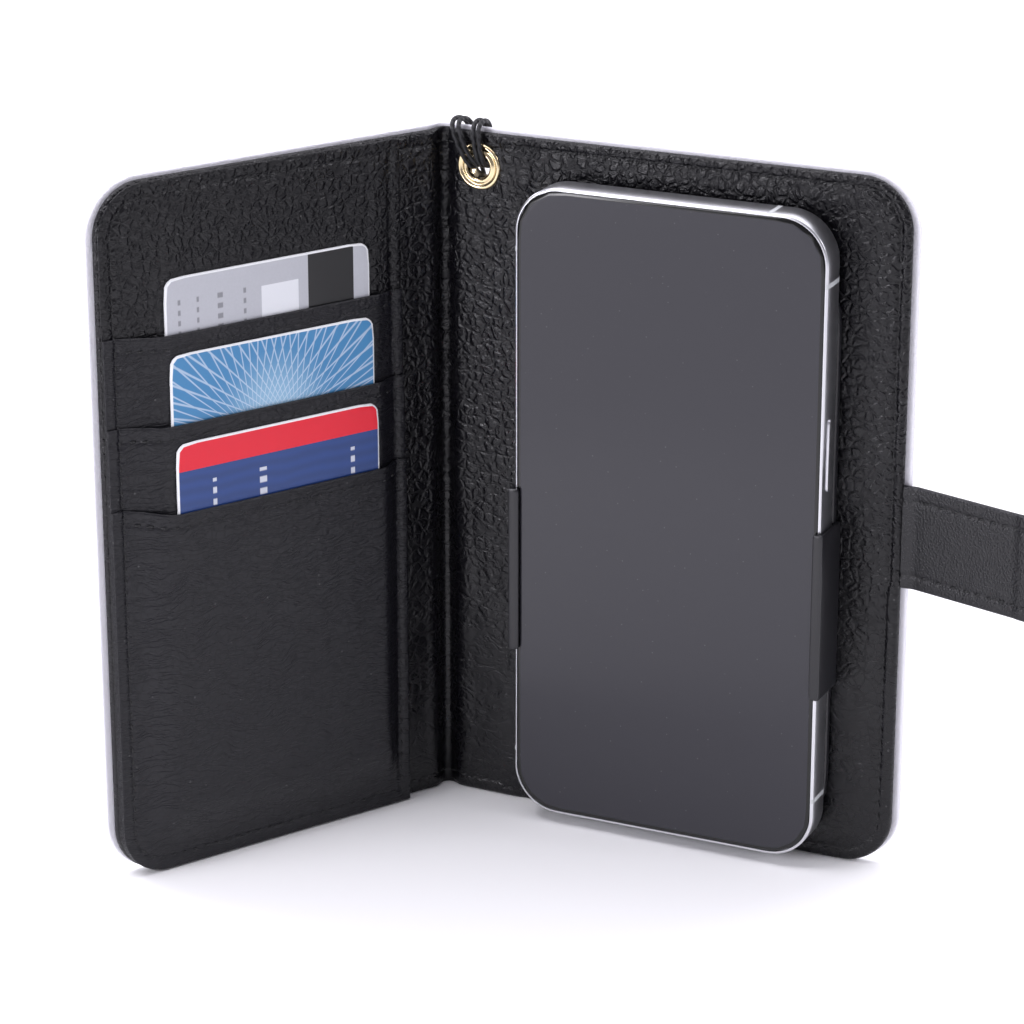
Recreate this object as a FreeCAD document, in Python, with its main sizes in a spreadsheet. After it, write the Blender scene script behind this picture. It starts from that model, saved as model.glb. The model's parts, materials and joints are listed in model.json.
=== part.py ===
import FreeCAD, Part
import math
import os
import Sketcher

# Phone wallet case: two covers and a spine joined by leather creases, a clip-in phone
# holder, three stacked card pockets, a magnetic closing strap and a corded eyelet.
#
# The case stands on its bottom edges (z = 0), open like a book towards -Y.
# Each panel is drawn in its own flat frame: X runs across the panel, Z runs up, and the
# hinge plane is y = 0, with the inside of the case towards -Y. "Depth" below is measured
# from the hinge plane towards the inside.

doc = FreeCAD.newDocument("PhoneWalletCase")

# ---------------------------------------------------------------- driving dimensions
SIZES = {
    # panels, in millimetres
    "case_rise": 163.0,
    "cover_span": 92.5,
    "spine_span": 21.0,
    "cover_round": 12.0,
    "crease_gap": 2.6,
    "face_depth": 0.8,
    "lining_thick": 0.9,
    "board_thick": 1.2,
    "skin_thick": 1.1,
    "rim_width": 2.0,
    "skin_side": 1.5,
    "skin_top": 0.8,
    "board_fit": 0.05,
    # standing pose, in degrees: how far each panel turns from facing straight ahead
    "back_yaw": 25.0,
    "spine_yaw": 27.0,
    "front_yaw": 36.0,
    "strap_yaw": 16.5,
    # phone
    "phone_wide": 75.0,
    "phone_tall": 152.0,
    "phone_thick": 7.6,
    "phone_round": 11.0,
    "phone_low": 3.1,
    "glass_thick": 0.85,
    "glass_inset": 1.1,
    "frame_wall": 2.6,
    "phone_inner_fit": 0.05,
    "band_wide": 1.1,
    "band_deep": 1.0,
    "band_from_top": 15.6,
    "band_from_bottom": 14.4,
    "band_from_side": 14.6,
    "key_long": 17.0,
    "key_wide": 2.4,
    "key_thick": 1.0,
    "key_proud": 0.45,
    "key_centre": 100.5,
    "key_fit": 0.15,
    "key_slot_deep": 1.35,
    # phone holder
    "tape_thick": 0.3,
    "tape_inset": 5.0,
    "plate_thick": 2.2,
    "plate_low": 9.0,
    "plate_rise": 131.5,
    "plate_round": 7.0,
    "phone_fit": 0.2,
    "seat_gap": 0.3,
    "clip_wall": 0.9,
    "clip_lip_thick": 1.1,
    "clip_lip_gap": 0.25,
    "clip_lip_reach": 1.7,
    "clip_low": 43.5,
    "clip_rise": 39.5,
    "clip_spine_clear": 0.35,
    # card pockets
    "panel_thick": 0.6,
    "pocket_thick": 0.6,
    "pocket_free_edge": 13.3,
    "card_wide": 53.98,
    "card_tall": 85.6,
    "card_thick": 0.76,
    "card_round": 3.18,
    "card_near": 22.5,
    "card_slack": 0.6,
    "card_face_gap": 0.1,
    "lip_1": 127.5,
    "lip_2": 107.0,
    "lip_3": 86.8,
    "card_show_1": 12.7,
    "card_show_2": 16.0,
    "card_show_3": 16.1,
    # closing strap
    "strap_wide": 24.3,
    "strap_centre": 81.0,
    "strap_layer": 0.8,
    "strap_core": 0.8,
    "strap_fit": 0.15,
    "tongue_deep": 12.0,
    "tab_long": 43.0,
    "tab_round": 8.0,
    "tab_clear": 0.4,
    "fold_clear": 0.4,
    "tab_fold_clear": 0.3,
    "root_offset": 1.5,
    "tab_margin": 3.0,
    "magnet_across": 12.0,
    "magnet_from_tip": 15.0,
    "magnet_fit": 0.05,
    # eyelet and its cord
    "eyelet_side": -1.0,
    "eyelet_drop": 7.9,
    "eyelet_bore": 5.5,
    "eyelet_wall": 0.5,
    "eyelet_flange": 11.0,
    "eyelet_flange_thick": 1.0,
    "eyelet_roll": 8.6,
    "eyelet_roll_thick": 0.5,
    "washer_across": 10.4,
    "washer_thick": 0.5,
    "eyelet_fit": 0.05,
    "cord_across": 1.1,
    "ferrule_across": 3.4,
    "ferrule_long": 8.0,
    "ferrule_top": 145.0,
    "ferrule_back": 4.2,
}

sheet = doc.addObject("Spreadsheet::Sheet", "Sizes")
for row, (alias, value) in enumerate(SIZES.items(), start=1):
    sheet.set("A%d" % row, alias)
    sheet.set("B%d" % row, str(value))
    sheet.setAlias("B%d" % row, alias)
doc.recompute()


class Length:
    """A number together with the spreadsheet expression that gives it."""

    def __init__(self, text, value):
        self.text = text
        self.value = value

    def __add__(self, other):
        other = as_length(other)
        return Length("(%s + %s)" % (self.text, other.text), self.value + other.value)

    def __sub__(self, other):
        other = as_length(other)
        return Length("(%s - %s)" % (self.text, other.text), self.value - other.value)

    def __mul__(self, factor):
        return Length("(%s * %s)" % (self.text, factor), self.value * factor)

    def __neg__(self):
        return Length("(0 - %s)" % self.text, -self.value)


def as_length(number):
    """Turns a plain number into a Length."""
    if isinstance(number, Length):
        return number
    return Length(str(number), float(number))


def size(alias):
    """The driving dimension with this alias in the spreadsheet."""
    return Length("Sizes." + alias, float(sheet.get(alias)))


ZERO = as_length(0)

# ---------------------------------------------------------------- depths through a panel
FACE = size("face_depth")
LINING_BACK = FACE - size("lining_thick")
BOARD_BACK = LINING_BACK - size("board_thick")
SKIN_BACK = BOARD_BACK - size("skin_thick")


# ---------------------------------------------------------------- drawing helpers
def origin_plane(body, role):
    """The body's own origin plane with this role."""
    for feature in body.Origin.OriginFeatures:
        if feature.Role == role:
            return feature
    raise ValueError("no plane " + role)


def new_body(label):
    """An empty body whose label names its file."""
    body = doc.addObject("PartDesign::Body", "Body_" + label)
    body.Label = label
    return body


def new_sketch(body, name, role, offset):
    """A sketch on one of the body's origin planes, moved along the plane's normal."""
    sketch = body.newObject("Sketcher::SketchObject", name + "_" + body.Label)
    sketch.AttachmentSupport = (origin_plane(body, role), [""])
    sketch.MapMode = "FlatFace"
    sketch.setExpression("AttachmentOffset.Base.z", offset.text)
    return sketch


def tie(sketch, kind, geometry, point, length, name):
    """Holds a point of the sketch at a distance from the origin, read from the sheet."""
    index = sketch.addConstraint(
        Sketcher.Constraint(kind, -1, 1, geometry, point, length.value)
    )
    sketch.renameConstraint(index, name)
    sketch.setExpression("Constraints." + name, length.text)


def draw_outline(sketch, points):
    """A closed outline of straight lines through the points, each tied to the sheet."""
    count = len(points)
    places = [FreeCAD.Vector(x.value, y.value, 0) for x, y in points]
    for i in range(count):
        sketch.addGeometry(Part.LineSegment(places[i], places[(i + 1) % count]), False)
    for i in range(count):
        sketch.addConstraint(
            Sketcher.Constraint("Coincident", i, 2, (i + 1) % count, 1)
        )
    for i, (x, y) in enumerate(points):
        tie(sketch, "DistanceX", i, 1, x, "across%d" % i)
        tie(sketch, "DistanceY", i, 1, y, "along%d" % i)


def draw_rectangle(sketch, left, right, low, high, radius=None, corners=()):
    """An upright rectangle. corners names the rounded ones: bl, br, tr, tl."""
    r = radius.value if radius else 0.0
    cut = {name: (r if name in corners else 0.0) for name in ("bl", "br", "tr", "tl")}
    x0, x1, z0, z1 = left.value, right.value, low.value, high.value
    sides = [
        ((x0 + cut["bl"], z0), (x1 - cut["br"], z0)),
        ((x1, z0 + cut["br"]), (x1, z1 - cut["tr"])),
        ((x1 - cut["tr"], z1), (x0 + cut["tl"], z1)),
        ((x0, z1 - cut["tl"]), (x0, z0 + cut["bl"])),
    ]
    for start, end in sides:
        line = Part.LineSegment(FreeCAD.Vector(*start, 0), FreeCAD.Vector(*end, 0))
        sketch.addGeometry(line, False)
    for side, kind in enumerate(("Horizontal", "Vertical", "Horizontal", "Vertical")):
        sketch.addConstraint(Sketcher.Constraint(kind, side))
    tie(sketch, "DistanceY", 0, 1, low, "low")
    tie(sketch, "DistanceX", 1, 1, right, "right")
    tie(sketch, "DistanceY", 2, 1, high, "high")
    tie(sketch, "DistanceX", 3, 1, left, "left")
    # each corner joins the end of one side to the start of the next
    turns = [("br", 0, x1 - r, z0 + r, 270), ("tr", 1, x1 - r, z1 - r, 0),
             ("tl", 2, x0 + r, z1 - r, 90), ("bl", 3, x0 + r, z0 + r, 180)]
    for name, side, cx, cz, start in turns:
        following = (side + 1) % 4
        if name not in corners:
            sketch.addConstraint(Sketcher.Constraint("Coincident", side, 2, following, 1))
            continue
        circle = Part.Circle(FreeCAD.Vector(cx, cz, 0), FreeCAD.Vector(0, 0, 1), r)
        first = math.radians(start)
        arc = sketch.addGeometry(Part.ArcOfCircle(circle, first, first + math.pi / 2), False)
        sketch.addConstraint(Sketcher.Constraint("Tangent", side, 2, arc, 1))
        sketch.addConstraint(Sketcher.Constraint("Tangent", arc, 2, following, 1))
        index = sketch.addConstraint(Sketcher.Constraint("Radius", arc, r))
        sketch.renameConstraint(index, "round_" + name)
        sketch.setExpression("Constraints.round_" + name, radius.text)


def draw_circle(sketch, x, z, diameter):
    """A circle tied to the sheet by its centre and its diameter."""
    circle = Part.Circle(FreeCAD.Vector(x.value, z.value, 0), FreeCAD.Vector(0, 0, 1),
                         diameter.value / 2)
    sketch.addGeometry(circle, False)
    tie(sketch, "DistanceX", 0, 3, x, "across")
    tie(sketch, "DistanceY", 0, 3, z, "along")
    index = sketch.addConstraint(Sketcher.Constraint("Diameter", 0, diameter.value))
    sketch.renameConstraint(index, "diameter")
    sketch.setExpression("Constraints.diameter", diameter.text)


def pad(body, sketch, length):
    """Pads a sketch along its normal."""
    feature = body.newObject("PartDesign::Pad", "Pad_" + body.Label)
    feature.Profile = sketch
    feature.setExpression("Length", length.text)
    doc.recompute()
    return feature


def cut(body, sketch, length):
    """Pockets a sketch along its normal, and checks that it takes material away."""
    before = body.Shape.Volume
    feature = body.newObject("PartDesign::Pocket", "Pocket_" + body.Label)
    feature.Profile = sketch
    feature.Reversed = True
    feature.setExpression("Length", length.text)
    doc.recompute()
    if body.Shape.Volume >= before - 1e-6:
        raise ValueError(body.Label + ": a pocket cut nothing")
    return feature


def upright(body, name, depth):
    """A sketch that faces the inside of the case, at this depth."""
    return new_sketch(body, name, "XZ_Plane", depth)


def plate(label, left, right, low, high, back, front, radius=None, corners=()):
    """A flat piece of the given outline between two depths."""
    body = new_body(label)
    sketch = upright(body, "Outline", back)
    draw_rectangle(sketch, left, right, low, high, radius, corners)
    pad(body, sketch, front - back)
    return body


def cut_rectangle(body, name, left, right, low, high, back, deep, radius=None, corners=()):
    """Cuts a rectangular recess inwards from this depth."""
    sketch = upright(body, name, back)
    draw_rectangle(sketch, left, right, low, high, radius, corners)
    cut(body, sketch, deep)


def cut_circle(body, name, x, z, diameter, back, deep):
    """Cuts a round hole inwards from this depth."""
    sketch = upright(body, name, back)
    draw_circle(sketch, x, z, diameter)
    cut(body, sketch, deep)


# ---------------------------------------------------------------- where each panel stands
def turned(x, y, yaw):
    """A placement at (x, y), turned by yaw degrees about the vertical."""
    rotation = FreeCAD.Rotation(FreeCAD.Vector(0, 0, 1), yaw)
    return FreeCAD.Placement(FreeCAD.Vector(x, y, 0), rotation)


HALF_SPINE = size("spine_span") * 0.5
SPINE_AT = turned(0, 0, -size("spine_yaw").value)
BACK_CREASE = SPINE_AT.multVec(FreeCAD.Vector(HALF_SPINE.value, 0, 0))
FRONT_CREASE = SPINE_AT.multVec(FreeCAD.Vector(-HALF_SPINE.value, 0, 0))
BACK_AT = turned(BACK_CREASE.x, BACK_CREASE.y, -size("back_yaw").value)
FRONT_AT = turned(FRONT_CREASE.x, FRONT_CREASE.y, size("front_yaw").value)

pieces = []


def place(placement, *bodies):
    """Stands the bodies where their panel stands, and lists them for writing."""
    for body in bodies:
        body.Placement = placement
        pieces.append(body)


# ---------------------------------------------------------------- the three panels
RISE = size("case_rise")
SPAN = size("cover_span")
GAP = size("crease_gap")
RIM = size("rim_width")
FIT = size("board_fit")
SIDE = size("skin_side")
ROUND = size("cover_round")


def panel(name, left, right, skin_left, skin_right, corners):
    """The outer skin, stiffening board and turned-edge lining of one panel."""
    skin = plate(name + "_outer_skin", skin_left, skin_right, ZERO, RISE + size("skin_top"),
                 SKIN_BACK, BOARD_BACK, ROUND + SIDE, corners)
    lining = plate(name + "_lining", left, right, ZERO, RISE, BOARD_BACK, FACE, ROUND, corners)
    inner = ROUND - RIM
    cut_rectangle(lining, "Board_seat", left + RIM, right - RIM, RIM, RISE - RIM,
                  BOARD_BACK, size("board_thick"), inner, corners)
    board = plate(name + "_board", left + RIM + FIT, right - RIM - FIT, RIM + FIT,
                  RISE - RIM - FIT, BOARD_BACK, LINING_BACK, inner, corners)
    return skin, board, lining


BACK_CORNERS = ("tr", "br")
FRONT_CORNERS = ("tl", "bl")
back_skin, back_board, back_lining = panel(
    "back", GAP, SPAN, GAP, SPAN + SIDE, BACK_CORNERS)
front_skin, front_board, front_lining = panel(
    "front", -SPAN, -GAP, -SPAN - SIDE, -GAP, FRONT_CORNERS)
SPINE_EDGE = HALF_SPINE - GAP
spine_skin, spine_board, spine_lining = panel(
    "spine", -SPINE_EDGE, SPINE_EDGE, -SPINE_EDGE, SPINE_EDGE, ())

# ---------------------------------------------------------------- closing strap
STRAP_HALF = size("strap_wide") * 0.5
STRAP_LOW = size("strap_centre") - STRAP_HALF
STRAP_HIGH = size("strap_centre") + STRAP_HALF
STRAP_DEPTH = (LINING_BACK + BOARD_BACK) * 0.5
LAYER = size("strap_layer")
# the strap's first fold line runs just outside the cover's edge
ROOT_FOLD = SPAN + SIDE + size("root_offset")
ROOT_GAP = LAYER + size("fold_clear")
TONGUE_END = ROOT_FOLD - ROOT_GAP
TONGUE_START = SPAN - size("tongue_deep")
STRAP_FIT = size("strap_fit")

cut_rectangle(back_board, "Tongue_notch", TONGUE_START - STRAP_FIT, SPAN,
              STRAP_LOW - STRAP_FIT, STRAP_HIGH + STRAP_FIT, BOARD_BACK, size("board_thick"))
cut_rectangle(back_lining, "Tongue_mouth", SPAN - RIM * 2, SPAN + SIDE,
              STRAP_LOW - STRAP_FIT, STRAP_HIGH + STRAP_FIT, BOARD_BACK, size("board_thick"))
strap_tongue = plate("strap_tongue", TONGUE_START, TONGUE_END, STRAP_LOW, STRAP_HIGH,
                     BOARD_BACK, LINING_BACK)

# from here on x is measured from each fold line, in the strap's own frames
CORE_HALF = size("strap_core") * 0.5
TAB_GAP = CORE_HALF + LAYER + size("tab_fold_clear")
# with the case shut the tab lies just clear of the front cover's outer skin
SHUT_TAB_DEPTH = size("spine_span") - SKIN_BACK + size("tab_clear") + CORE_HALF + LAYER
GUSSET_LONG = SHUT_TAB_DEPTH - STRAP_DEPTH
gusset_inner = plate("gusset_inner_layer", ROOT_GAP, GUSSET_LONG - TAB_GAP,
                     STRAP_LOW, STRAP_HIGH, ZERO, LAYER)
gusset_outer = plate("gusset_outer_layer", ROOT_GAP, GUSSET_LONG - TAB_GAP,
                     STRAP_LOW, STRAP_HIGH, -LAYER, ZERO)

TAB_END = size("tab_long")
TAB_CORNERS = ("tr", "br")
TAB_ROUND = size("tab_round")
MARGIN = size("tab_margin")
tab_inner = plate("tab_inner_layer", TAB_GAP, TAB_END, STRAP_LOW, STRAP_HIGH,
                  CORE_HALF, CORE_HALF + LAYER, TAB_ROUND, TAB_CORNERS)
tab_outer = plate("tab_outer_layer", TAB_GAP, TAB_END, STRAP_LOW, STRAP_HIGH,
                  -CORE_HALF - LAYER, -CORE_HALF, TAB_ROUND, TAB_CORNERS)
tab_core = plate("tab_stiffener", TAB_GAP, TAB_END - MARGIN, STRAP_LOW + MARGIN,
                 STRAP_HIGH - MARGIN, -CORE_HALF, CORE_HALF, TAB_ROUND - MARGIN, TAB_CORNERS)
MAGNET_X = TAB_END - size("magnet_from_tip")
MAGNET_HOLE = size("magnet_across") + size("magnet_fit") * 2
cut_circle(tab_core, "Magnet_hole", MAGNET_X, size("strap_centre"), MAGNET_HOLE,
           -CORE_HALF, size("strap_core"))


def disc(label, x, z, diameter, back, front):
    """A flat disc between two depths."""
    body = new_body(label)
    sketch = upright(body, "Outline", back)
    draw_circle(sketch, x, z, diameter)
    pad(body, sketch, front - back)
    return body


tab_magnet = disc("tab_magnet", MAGNET_X, size("strap_centre"), size("magnet_across"),
                  -CORE_HALF, CORE_HALF)
# with the case shut the tab's magnet lies over this one in the front cover's board
COVER_MAGNET_X = MAGNET_X - ROOT_FOLD
cut_circle(front_board, "Magnet_hole", COVER_MAGNET_X, size("strap_centre"), MAGNET_HOLE,
           BOARD_BACK, size("board_thick"))
cover_magnet = disc("cover_magnet", COVER_MAGNET_X, size("strap_centre"),
                    size("magnet_across"), BOARD_BACK, LINING_BACK)

# ---------------------------------------------------------------- phone holder
PHONE_FIT = size("phone_fit")
# folded shut, the spine's face stands face_depth beyond the crease line
CLIP_OUTER = FACE + size("clip_spine_clear")
PHONE_LEFT = CLIP_OUTER + size("clip_wall") + PHONE_FIT
PHONE_RIGHT = PHONE_LEFT + size("phone_wide")
PHONE_LOW = size("phone_low")
PHONE_HIGH = PHONE_LOW + size("phone_tall")
PLATE_BACK = FACE + size("tape_thick")
PLATE_FRONT = PLATE_BACK + size("plate_thick")
PHONE_BACK = PLATE_FRONT + size("seat_gap")
PHONE_FRONT = PHONE_BACK + size("phone_thick")
PLATE_LEFT = PHONE_LEFT - PHONE_FIT
PLATE_RIGHT = PHONE_RIGHT + PHONE_FIT
PLATE_LOW = size("plate_low")
PLATE_HIGH = PLATE_LOW + size("plate_rise")
TAPE = size("tape_inset")
ALL_CORNERS = ("bl", "br", "tr", "tl")

holder_tape = plate("holder_tape", PLATE_LEFT + TAPE, PLATE_RIGHT - TAPE, PLATE_LOW + TAPE,
                    PLATE_HIGH - TAPE, FACE, PLATE_BACK)
holder_plate = plate("holder_plate", PLATE_LEFT, PLATE_RIGHT, PLATE_LOW, PLATE_HIGH,
                     PLATE_BACK, PLATE_FRONT, size("plate_round"), ALL_CORNERS)
LIP_BACK = PHONE_FRONT + size("clip_lip_gap")
LIP_FRONT = LIP_BACK + size("clip_lip_thick")
WALL = size("clip_wall")
REACH = size("clip_lip_reach")


def clip(label, wall_inside, wall_outside, lip_end):
    """An L-shaped clip: a wall beside the phone and a lip over its front."""
    body = new_body(label)
    sketch = new_sketch(body, "Plan", "XY_Plane", size("clip_low"))
    draw_outline(sketch, [
        (wall_inside, -PLATE_BACK),
        (wall_outside, -PLATE_BACK),
        (wall_outside, -LIP_FRONT),
        (lip_end, -LIP_FRONT),
        (lip_end, -LIP_BACK),
        (wall_inside, -LIP_BACK),
    ])
    pad(body, sketch, size("clip_rise"))
    return body


clip_left = clip("clip_left", PLATE_LEFT, PLATE_LEFT - WALL, PLATE_LEFT + REACH)
clip_right = clip("clip_right", PLATE_RIGHT, PLATE_RIGHT + WALL, PLATE_RIGHT - REACH)

# ---------------------------------------------------------------- phone
INSET = size("glass_inset")
WALL_IN = size("frame_wall")
PHONE_ROUND = size("phone_round")
GLASS = size("glass_thick")
INNER_FIT = size("phone_inner_fit")
GLASS_SEAT = GLASS + INNER_FIT


def inset_plate(label, inset, back, front):
    """A plate with the phone's outline, drawn in by the inset."""
    return plate(label, PHONE_LEFT + inset, PHONE_RIGHT - inset, PHONE_LOW + inset,
                 PHONE_HIGH - inset, back, front, PHONE_ROUND - inset, ALL_CORNERS)


def cut_inset(body, name, inset, back, deep):
    """Cuts the phone's outline, drawn in by the inset."""
    cut_rectangle(body, name, PHONE_LEFT + inset, PHONE_RIGHT - inset, PHONE_LOW + inset,
                  PHONE_HIGH - inset, back, deep, PHONE_ROUND - inset, ALL_CORNERS)


phone_ring = inset_plate("phone_ring", ZERO, PHONE_BACK, PHONE_FRONT)
cut_inset(phone_ring, "Core_bay", WALL_IN, PHONE_BACK, size("phone_thick"))
cut_inset(phone_ring, "Back_glass_seat", INSET, PHONE_BACK, GLASS_SEAT)
cut_inset(phone_ring, "Front_glass_seat", INSET, PHONE_FRONT - GLASS_SEAT, GLASS_SEAT)
KEY_DEPTH = (PHONE_BACK + PHONE_FRONT) * 0.5
KEY_HALF = size("key_wide") * 0.5
KEY_FIT = size("key_fit")
KEY_LOW = size("key_centre") - size("key_long") * 0.5
KEY_HIGH = size("key_centre") + size("key_long") * 0.5
cut_rectangle(phone_ring, "Key_slot", PHONE_RIGHT - size("key_slot_deep"), PHONE_RIGHT + SIDE,
              KEY_LOW - KEY_FIT, KEY_HIGH + KEY_FIT, KEY_DEPTH - KEY_HALF - KEY_FIT,
              size("key_wide") + KEY_FIT * 2)
KEY_OUT = PHONE_RIGHT + size("key_proud")
power_key = plate("power_key", KEY_OUT - size("key_thick"), KEY_OUT, KEY_LOW, KEY_HIGH,
                  KEY_DEPTH - KEY_HALF, KEY_DEPTH + KEY_HALF)

front_glass = inset_plate("phone_front_glass", INSET + INNER_FIT, PHONE_FRONT - GLASS, PHONE_FRONT)
back_glass = inset_plate("phone_back_glass", INSET + INNER_FIT, PHONE_BACK, PHONE_BACK + GLASS)
phone_core = inset_plate("phone_core", WALL_IN + INNER_FIT, PHONE_BACK + GLASS,
                         PHONE_FRONT - GLASS)

# antenna bands: thin slices of the frame in plastic, two on each long side, one at each end
BAND = size("band_wide")
BAND_DEEP = size("band_deep")
BAND_PROUD = as_length(1)
BAND_BLOCK = BAND_DEEP + BAND_PROUD


def band_box(name, left, low, across, rise):
    """A block that marks one antenna band on the frame."""
    block = doc.addObject("Part::Box", name)
    block.setExpression("Length", across.text)
    block.setExpression("Height", rise.text)
    block.setExpression("Width", (size("phone_thick") + BAND_PROUD * 2).text)
    corner = FreeCAD.Vector(left.value, -(PHONE_FRONT + BAND_PROUD).value, low.value)
    block.Placement = FreeCAD.Placement(corner, FreeCAD.Rotation())
    return block


HIGH_BAND = PHONE_HIGH - size("band_from_top")
LOW_BAND = PHONE_LOW + size("band_from_bottom")
SIDE_BAND = PHONE_RIGHT - size("band_from_side")
RIGHT_OF_FRAME = PHONE_RIGHT - BAND_DEEP
LEFT_OF_FRAME = PHONE_LEFT - BAND_PROUD
band_blocks = [
    band_box("BandRightHigh", RIGHT_OF_FRAME, HIGH_BAND, BAND_BLOCK, BAND),
    band_box("BandRightLow", RIGHT_OF_FRAME, LOW_BAND, BAND_BLOCK, BAND),
    band_box("BandLeftHigh", LEFT_OF_FRAME, HIGH_BAND, BAND_BLOCK, BAND),
    band_box("BandLeftLow", LEFT_OF_FRAME, LOW_BAND, BAND_BLOCK, BAND),
    band_box("BandTop", SIDE_BAND, PHONE_HIGH - BAND_DEEP, BAND, BAND_BLOCK),
    band_box("BandBottom", SIDE_BAND, PHONE_LOW - BAND_PROUD, BAND, BAND_BLOCK),
]
band_set = doc.addObject("Part::MultiFuse", "BandBlocks")
band_set.Shapes = band_blocks
phone_frame = doc.addObject("Part::Cut", "PhoneFrame")
phone_frame.Base = phone_ring
phone_frame.Tool = band_set
phone_frame.Label = "phone_frame"
antenna_bands = doc.addObject("Part::Common", "AntennaBands")
antenna_bands.Base = phone_ring
antenna_bands.Tool = band_set
antenna_bands.Label = "antenna_bands"

# ---------------------------------------------------------------- card pockets
EDGE = -size("pocket_free_edge")
PANEL_FRONT = FACE + size("panel_thick")
POCKET = size("pocket_thick")
SLOT = size("card_thick") + size("card_face_gap") * 2
SLACK = size("card_slack")
CARD_RIGHT = -size("card_near")
CARD_LEFT = CARD_RIGHT - size("card_wide")

cash_panel = plate("cash_pocket_panel", -SPAN, EDGE, ZERO, RISE, FACE, PANEL_FRONT,
                   ROUND, FRONT_CORNERS)


def card_pocket(number, back):
    """One pocket front and its card. The pocket is hollowed behind for the card."""
    lip = size("lip_%d" % number)
    card_high = lip + size("card_show_%d" % number)
    card_low = card_high - size("card_tall")
    front = back + SLOT + POCKET
    pocket = plate("card_pocket_%d" % number, -SPAN, EDGE, ZERO, lip, back, front,
                   ROUND, ("bl",))
    cut_rectangle(pocket, "Card_slot", CARD_LEFT - SLACK, CARD_RIGHT + SLACK,
                  card_low - SLACK, lip + SLACK, back, SLOT)
    card_back = back + size("card_face_gap")
    card = plate("card_%d" % number, CARD_LEFT, CARD_RIGHT, card_low, card_high,
                 card_back, card_back + size("card_thick"), size("card_round"), ALL_CORNERS)
    return pocket, card, front


pocket_1, card_1, depth_1 = card_pocket(1, PANEL_FRONT)
pocket_2, card_2, depth_2 = card_pocket(2, depth_1)
pocket_3, card_3, depth_3 = card_pocket(3, depth_2)

# ---------------------------------------------------------------- eyelet
EYELET_X = size("eyelet_side")
EYELET_Z = RISE - size("eyelet_drop")
BORE = size("eyelet_bore") * 0.5
BARREL = BORE + size("eyelet_wall")
FLANGE = size("eyelet_flange") * 0.5
ROLL = size("eyelet_roll") * 0.5
WASHER_BACK = SKIN_BACK - size("washer_thick")
ROLL_BACK = WASHER_BACK - size("eyelet_roll_thick")
FLANGE_FRONT = FACE + size("eyelet_flange_thick")
EYELET_HOLE = BARREL * 2 + size("eyelet_fit") * 2

for layer, back, deep in ((spine_skin, SKIN_BACK, size("skin_thick")),
                          (spine_board, BOARD_BACK, size("board_thick")),
                          (spine_lining, LINING_BACK, size("lining_thick"))):
    cut_circle(layer, "Eyelet_hole", EYELET_X, EYELET_Z, EYELET_HOLE, back, deep)


def turned_ring(label, outline):
    """A ring turned about the eyelet's axis from points of (radius, depth)."""
    body = new_body(label)
    sketch = new_sketch(body, "Section", "XY_Plane", ZERO)
    draw_outline(sketch, [(radius, -depth) for radius, depth in outline])
    ring = body.newObject("PartDesign::Revolution", "Turn_" + label)
    ring.Profile = sketch
    ring.ReferenceAxis = (sketch, ["V_Axis"])
    ring.Angle = 360
    doc.recompute()
    return body


eyelet_barrel = turned_ring("eyelet_barrel", [
    (BORE, ROLL_BACK),
    (ROLL, ROLL_BACK),
    (ROLL, WASHER_BACK),
    (BARREL, WASHER_BACK),
    (BARREL, FACE),
    (FLANGE, FACE),
    (FLANGE, FLANGE_FRONT),
    (BORE, FLANGE_FRONT),
])
WASHER_BORE = BARREL + size("eyelet_fit")
WASHER = size("washer_across") * 0.5
eyelet_washer = turned_ring("eyelet_washer", [
    (WASHER_BORE, WASHER_BACK),
    (WASHER, WASHER_BACK),
    (WASHER, SKIN_BACK),
    (WASHER_BORE, SKIN_BACK),
])

# ---------------------------------------------------------------- eyelet cord
# The cord's route in the spine's frame, from the ferrule and back to it: four tight turns
# round the strip of spine above the eyelet. Points are x across, y back, z up.
CORD_ROUTE = [
    (-1.6, 4.2, 145.0),
    (-1.6, 4.2, 149.9),
    (-4.6, 4.4, 157.6),
    (-7.1, 4.2, 165.3),
    (-8.3, -2.6, 165.3),
    (-2.7, -2.8, 154.3),
    (-2.7, 4.4, 154.8),
    (-5.7, 4.2, 165.3),
    (-6.6, -2.6, 165.3),
    (-1.55, -2.8, 155.1),
    (-1.55, 4.4, 155.1),
    (-2.0, 4.2, 165.3),
    (-2.3, -2.6, 165.3),
    (-0.4, -2.8, 155.1),
    (-0.4, 4.4, 155.1),
    (-0.7, 4.2, 165.3),
    (-0.9, -2.6, 165.3),
    (0.7, -2.8, 155.1),
    (0.7, 4.5, 155.1),
    (-0.4, 4.2, 149.5),
    (-0.4, 4.2, 145.0),
]
ARC_SHARE = 0.45


def rounded_path(points):
    """Straight runs joined by tangent arcs, and the list of arc radii."""
    points = [FreeCAD.Vector(*p) for p in points]
    edges = []
    radii = []
    start = points[0]
    for before, corner, after in zip(points, points[1:], points[2:]):
        inward = (corner - before).normalize()
        outward = (after - corner).normalize()
        turn = inward.getAngle(outward)
        run = min((corner - before).Length, (after - corner).Length)
        reach = ARC_SHARE * run
        radius = reach / math.tan(turn / 2)
        first = corner - inward * reach
        last = corner + outward * reach
        bisector = (outward - inward).normalize()
        middle = corner + bisector * (radius / math.cos(turn / 2) - radius)
        edges.append(Part.LineSegment(start, first).toShape())
        edges.append(Part.Arc(first, middle, last).toShape())
        radii.append(radius)
        start = last
    edges.append(Part.LineSegment(start, points[-1]).toShape())
    return Part.Wire(edges), radii


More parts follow.
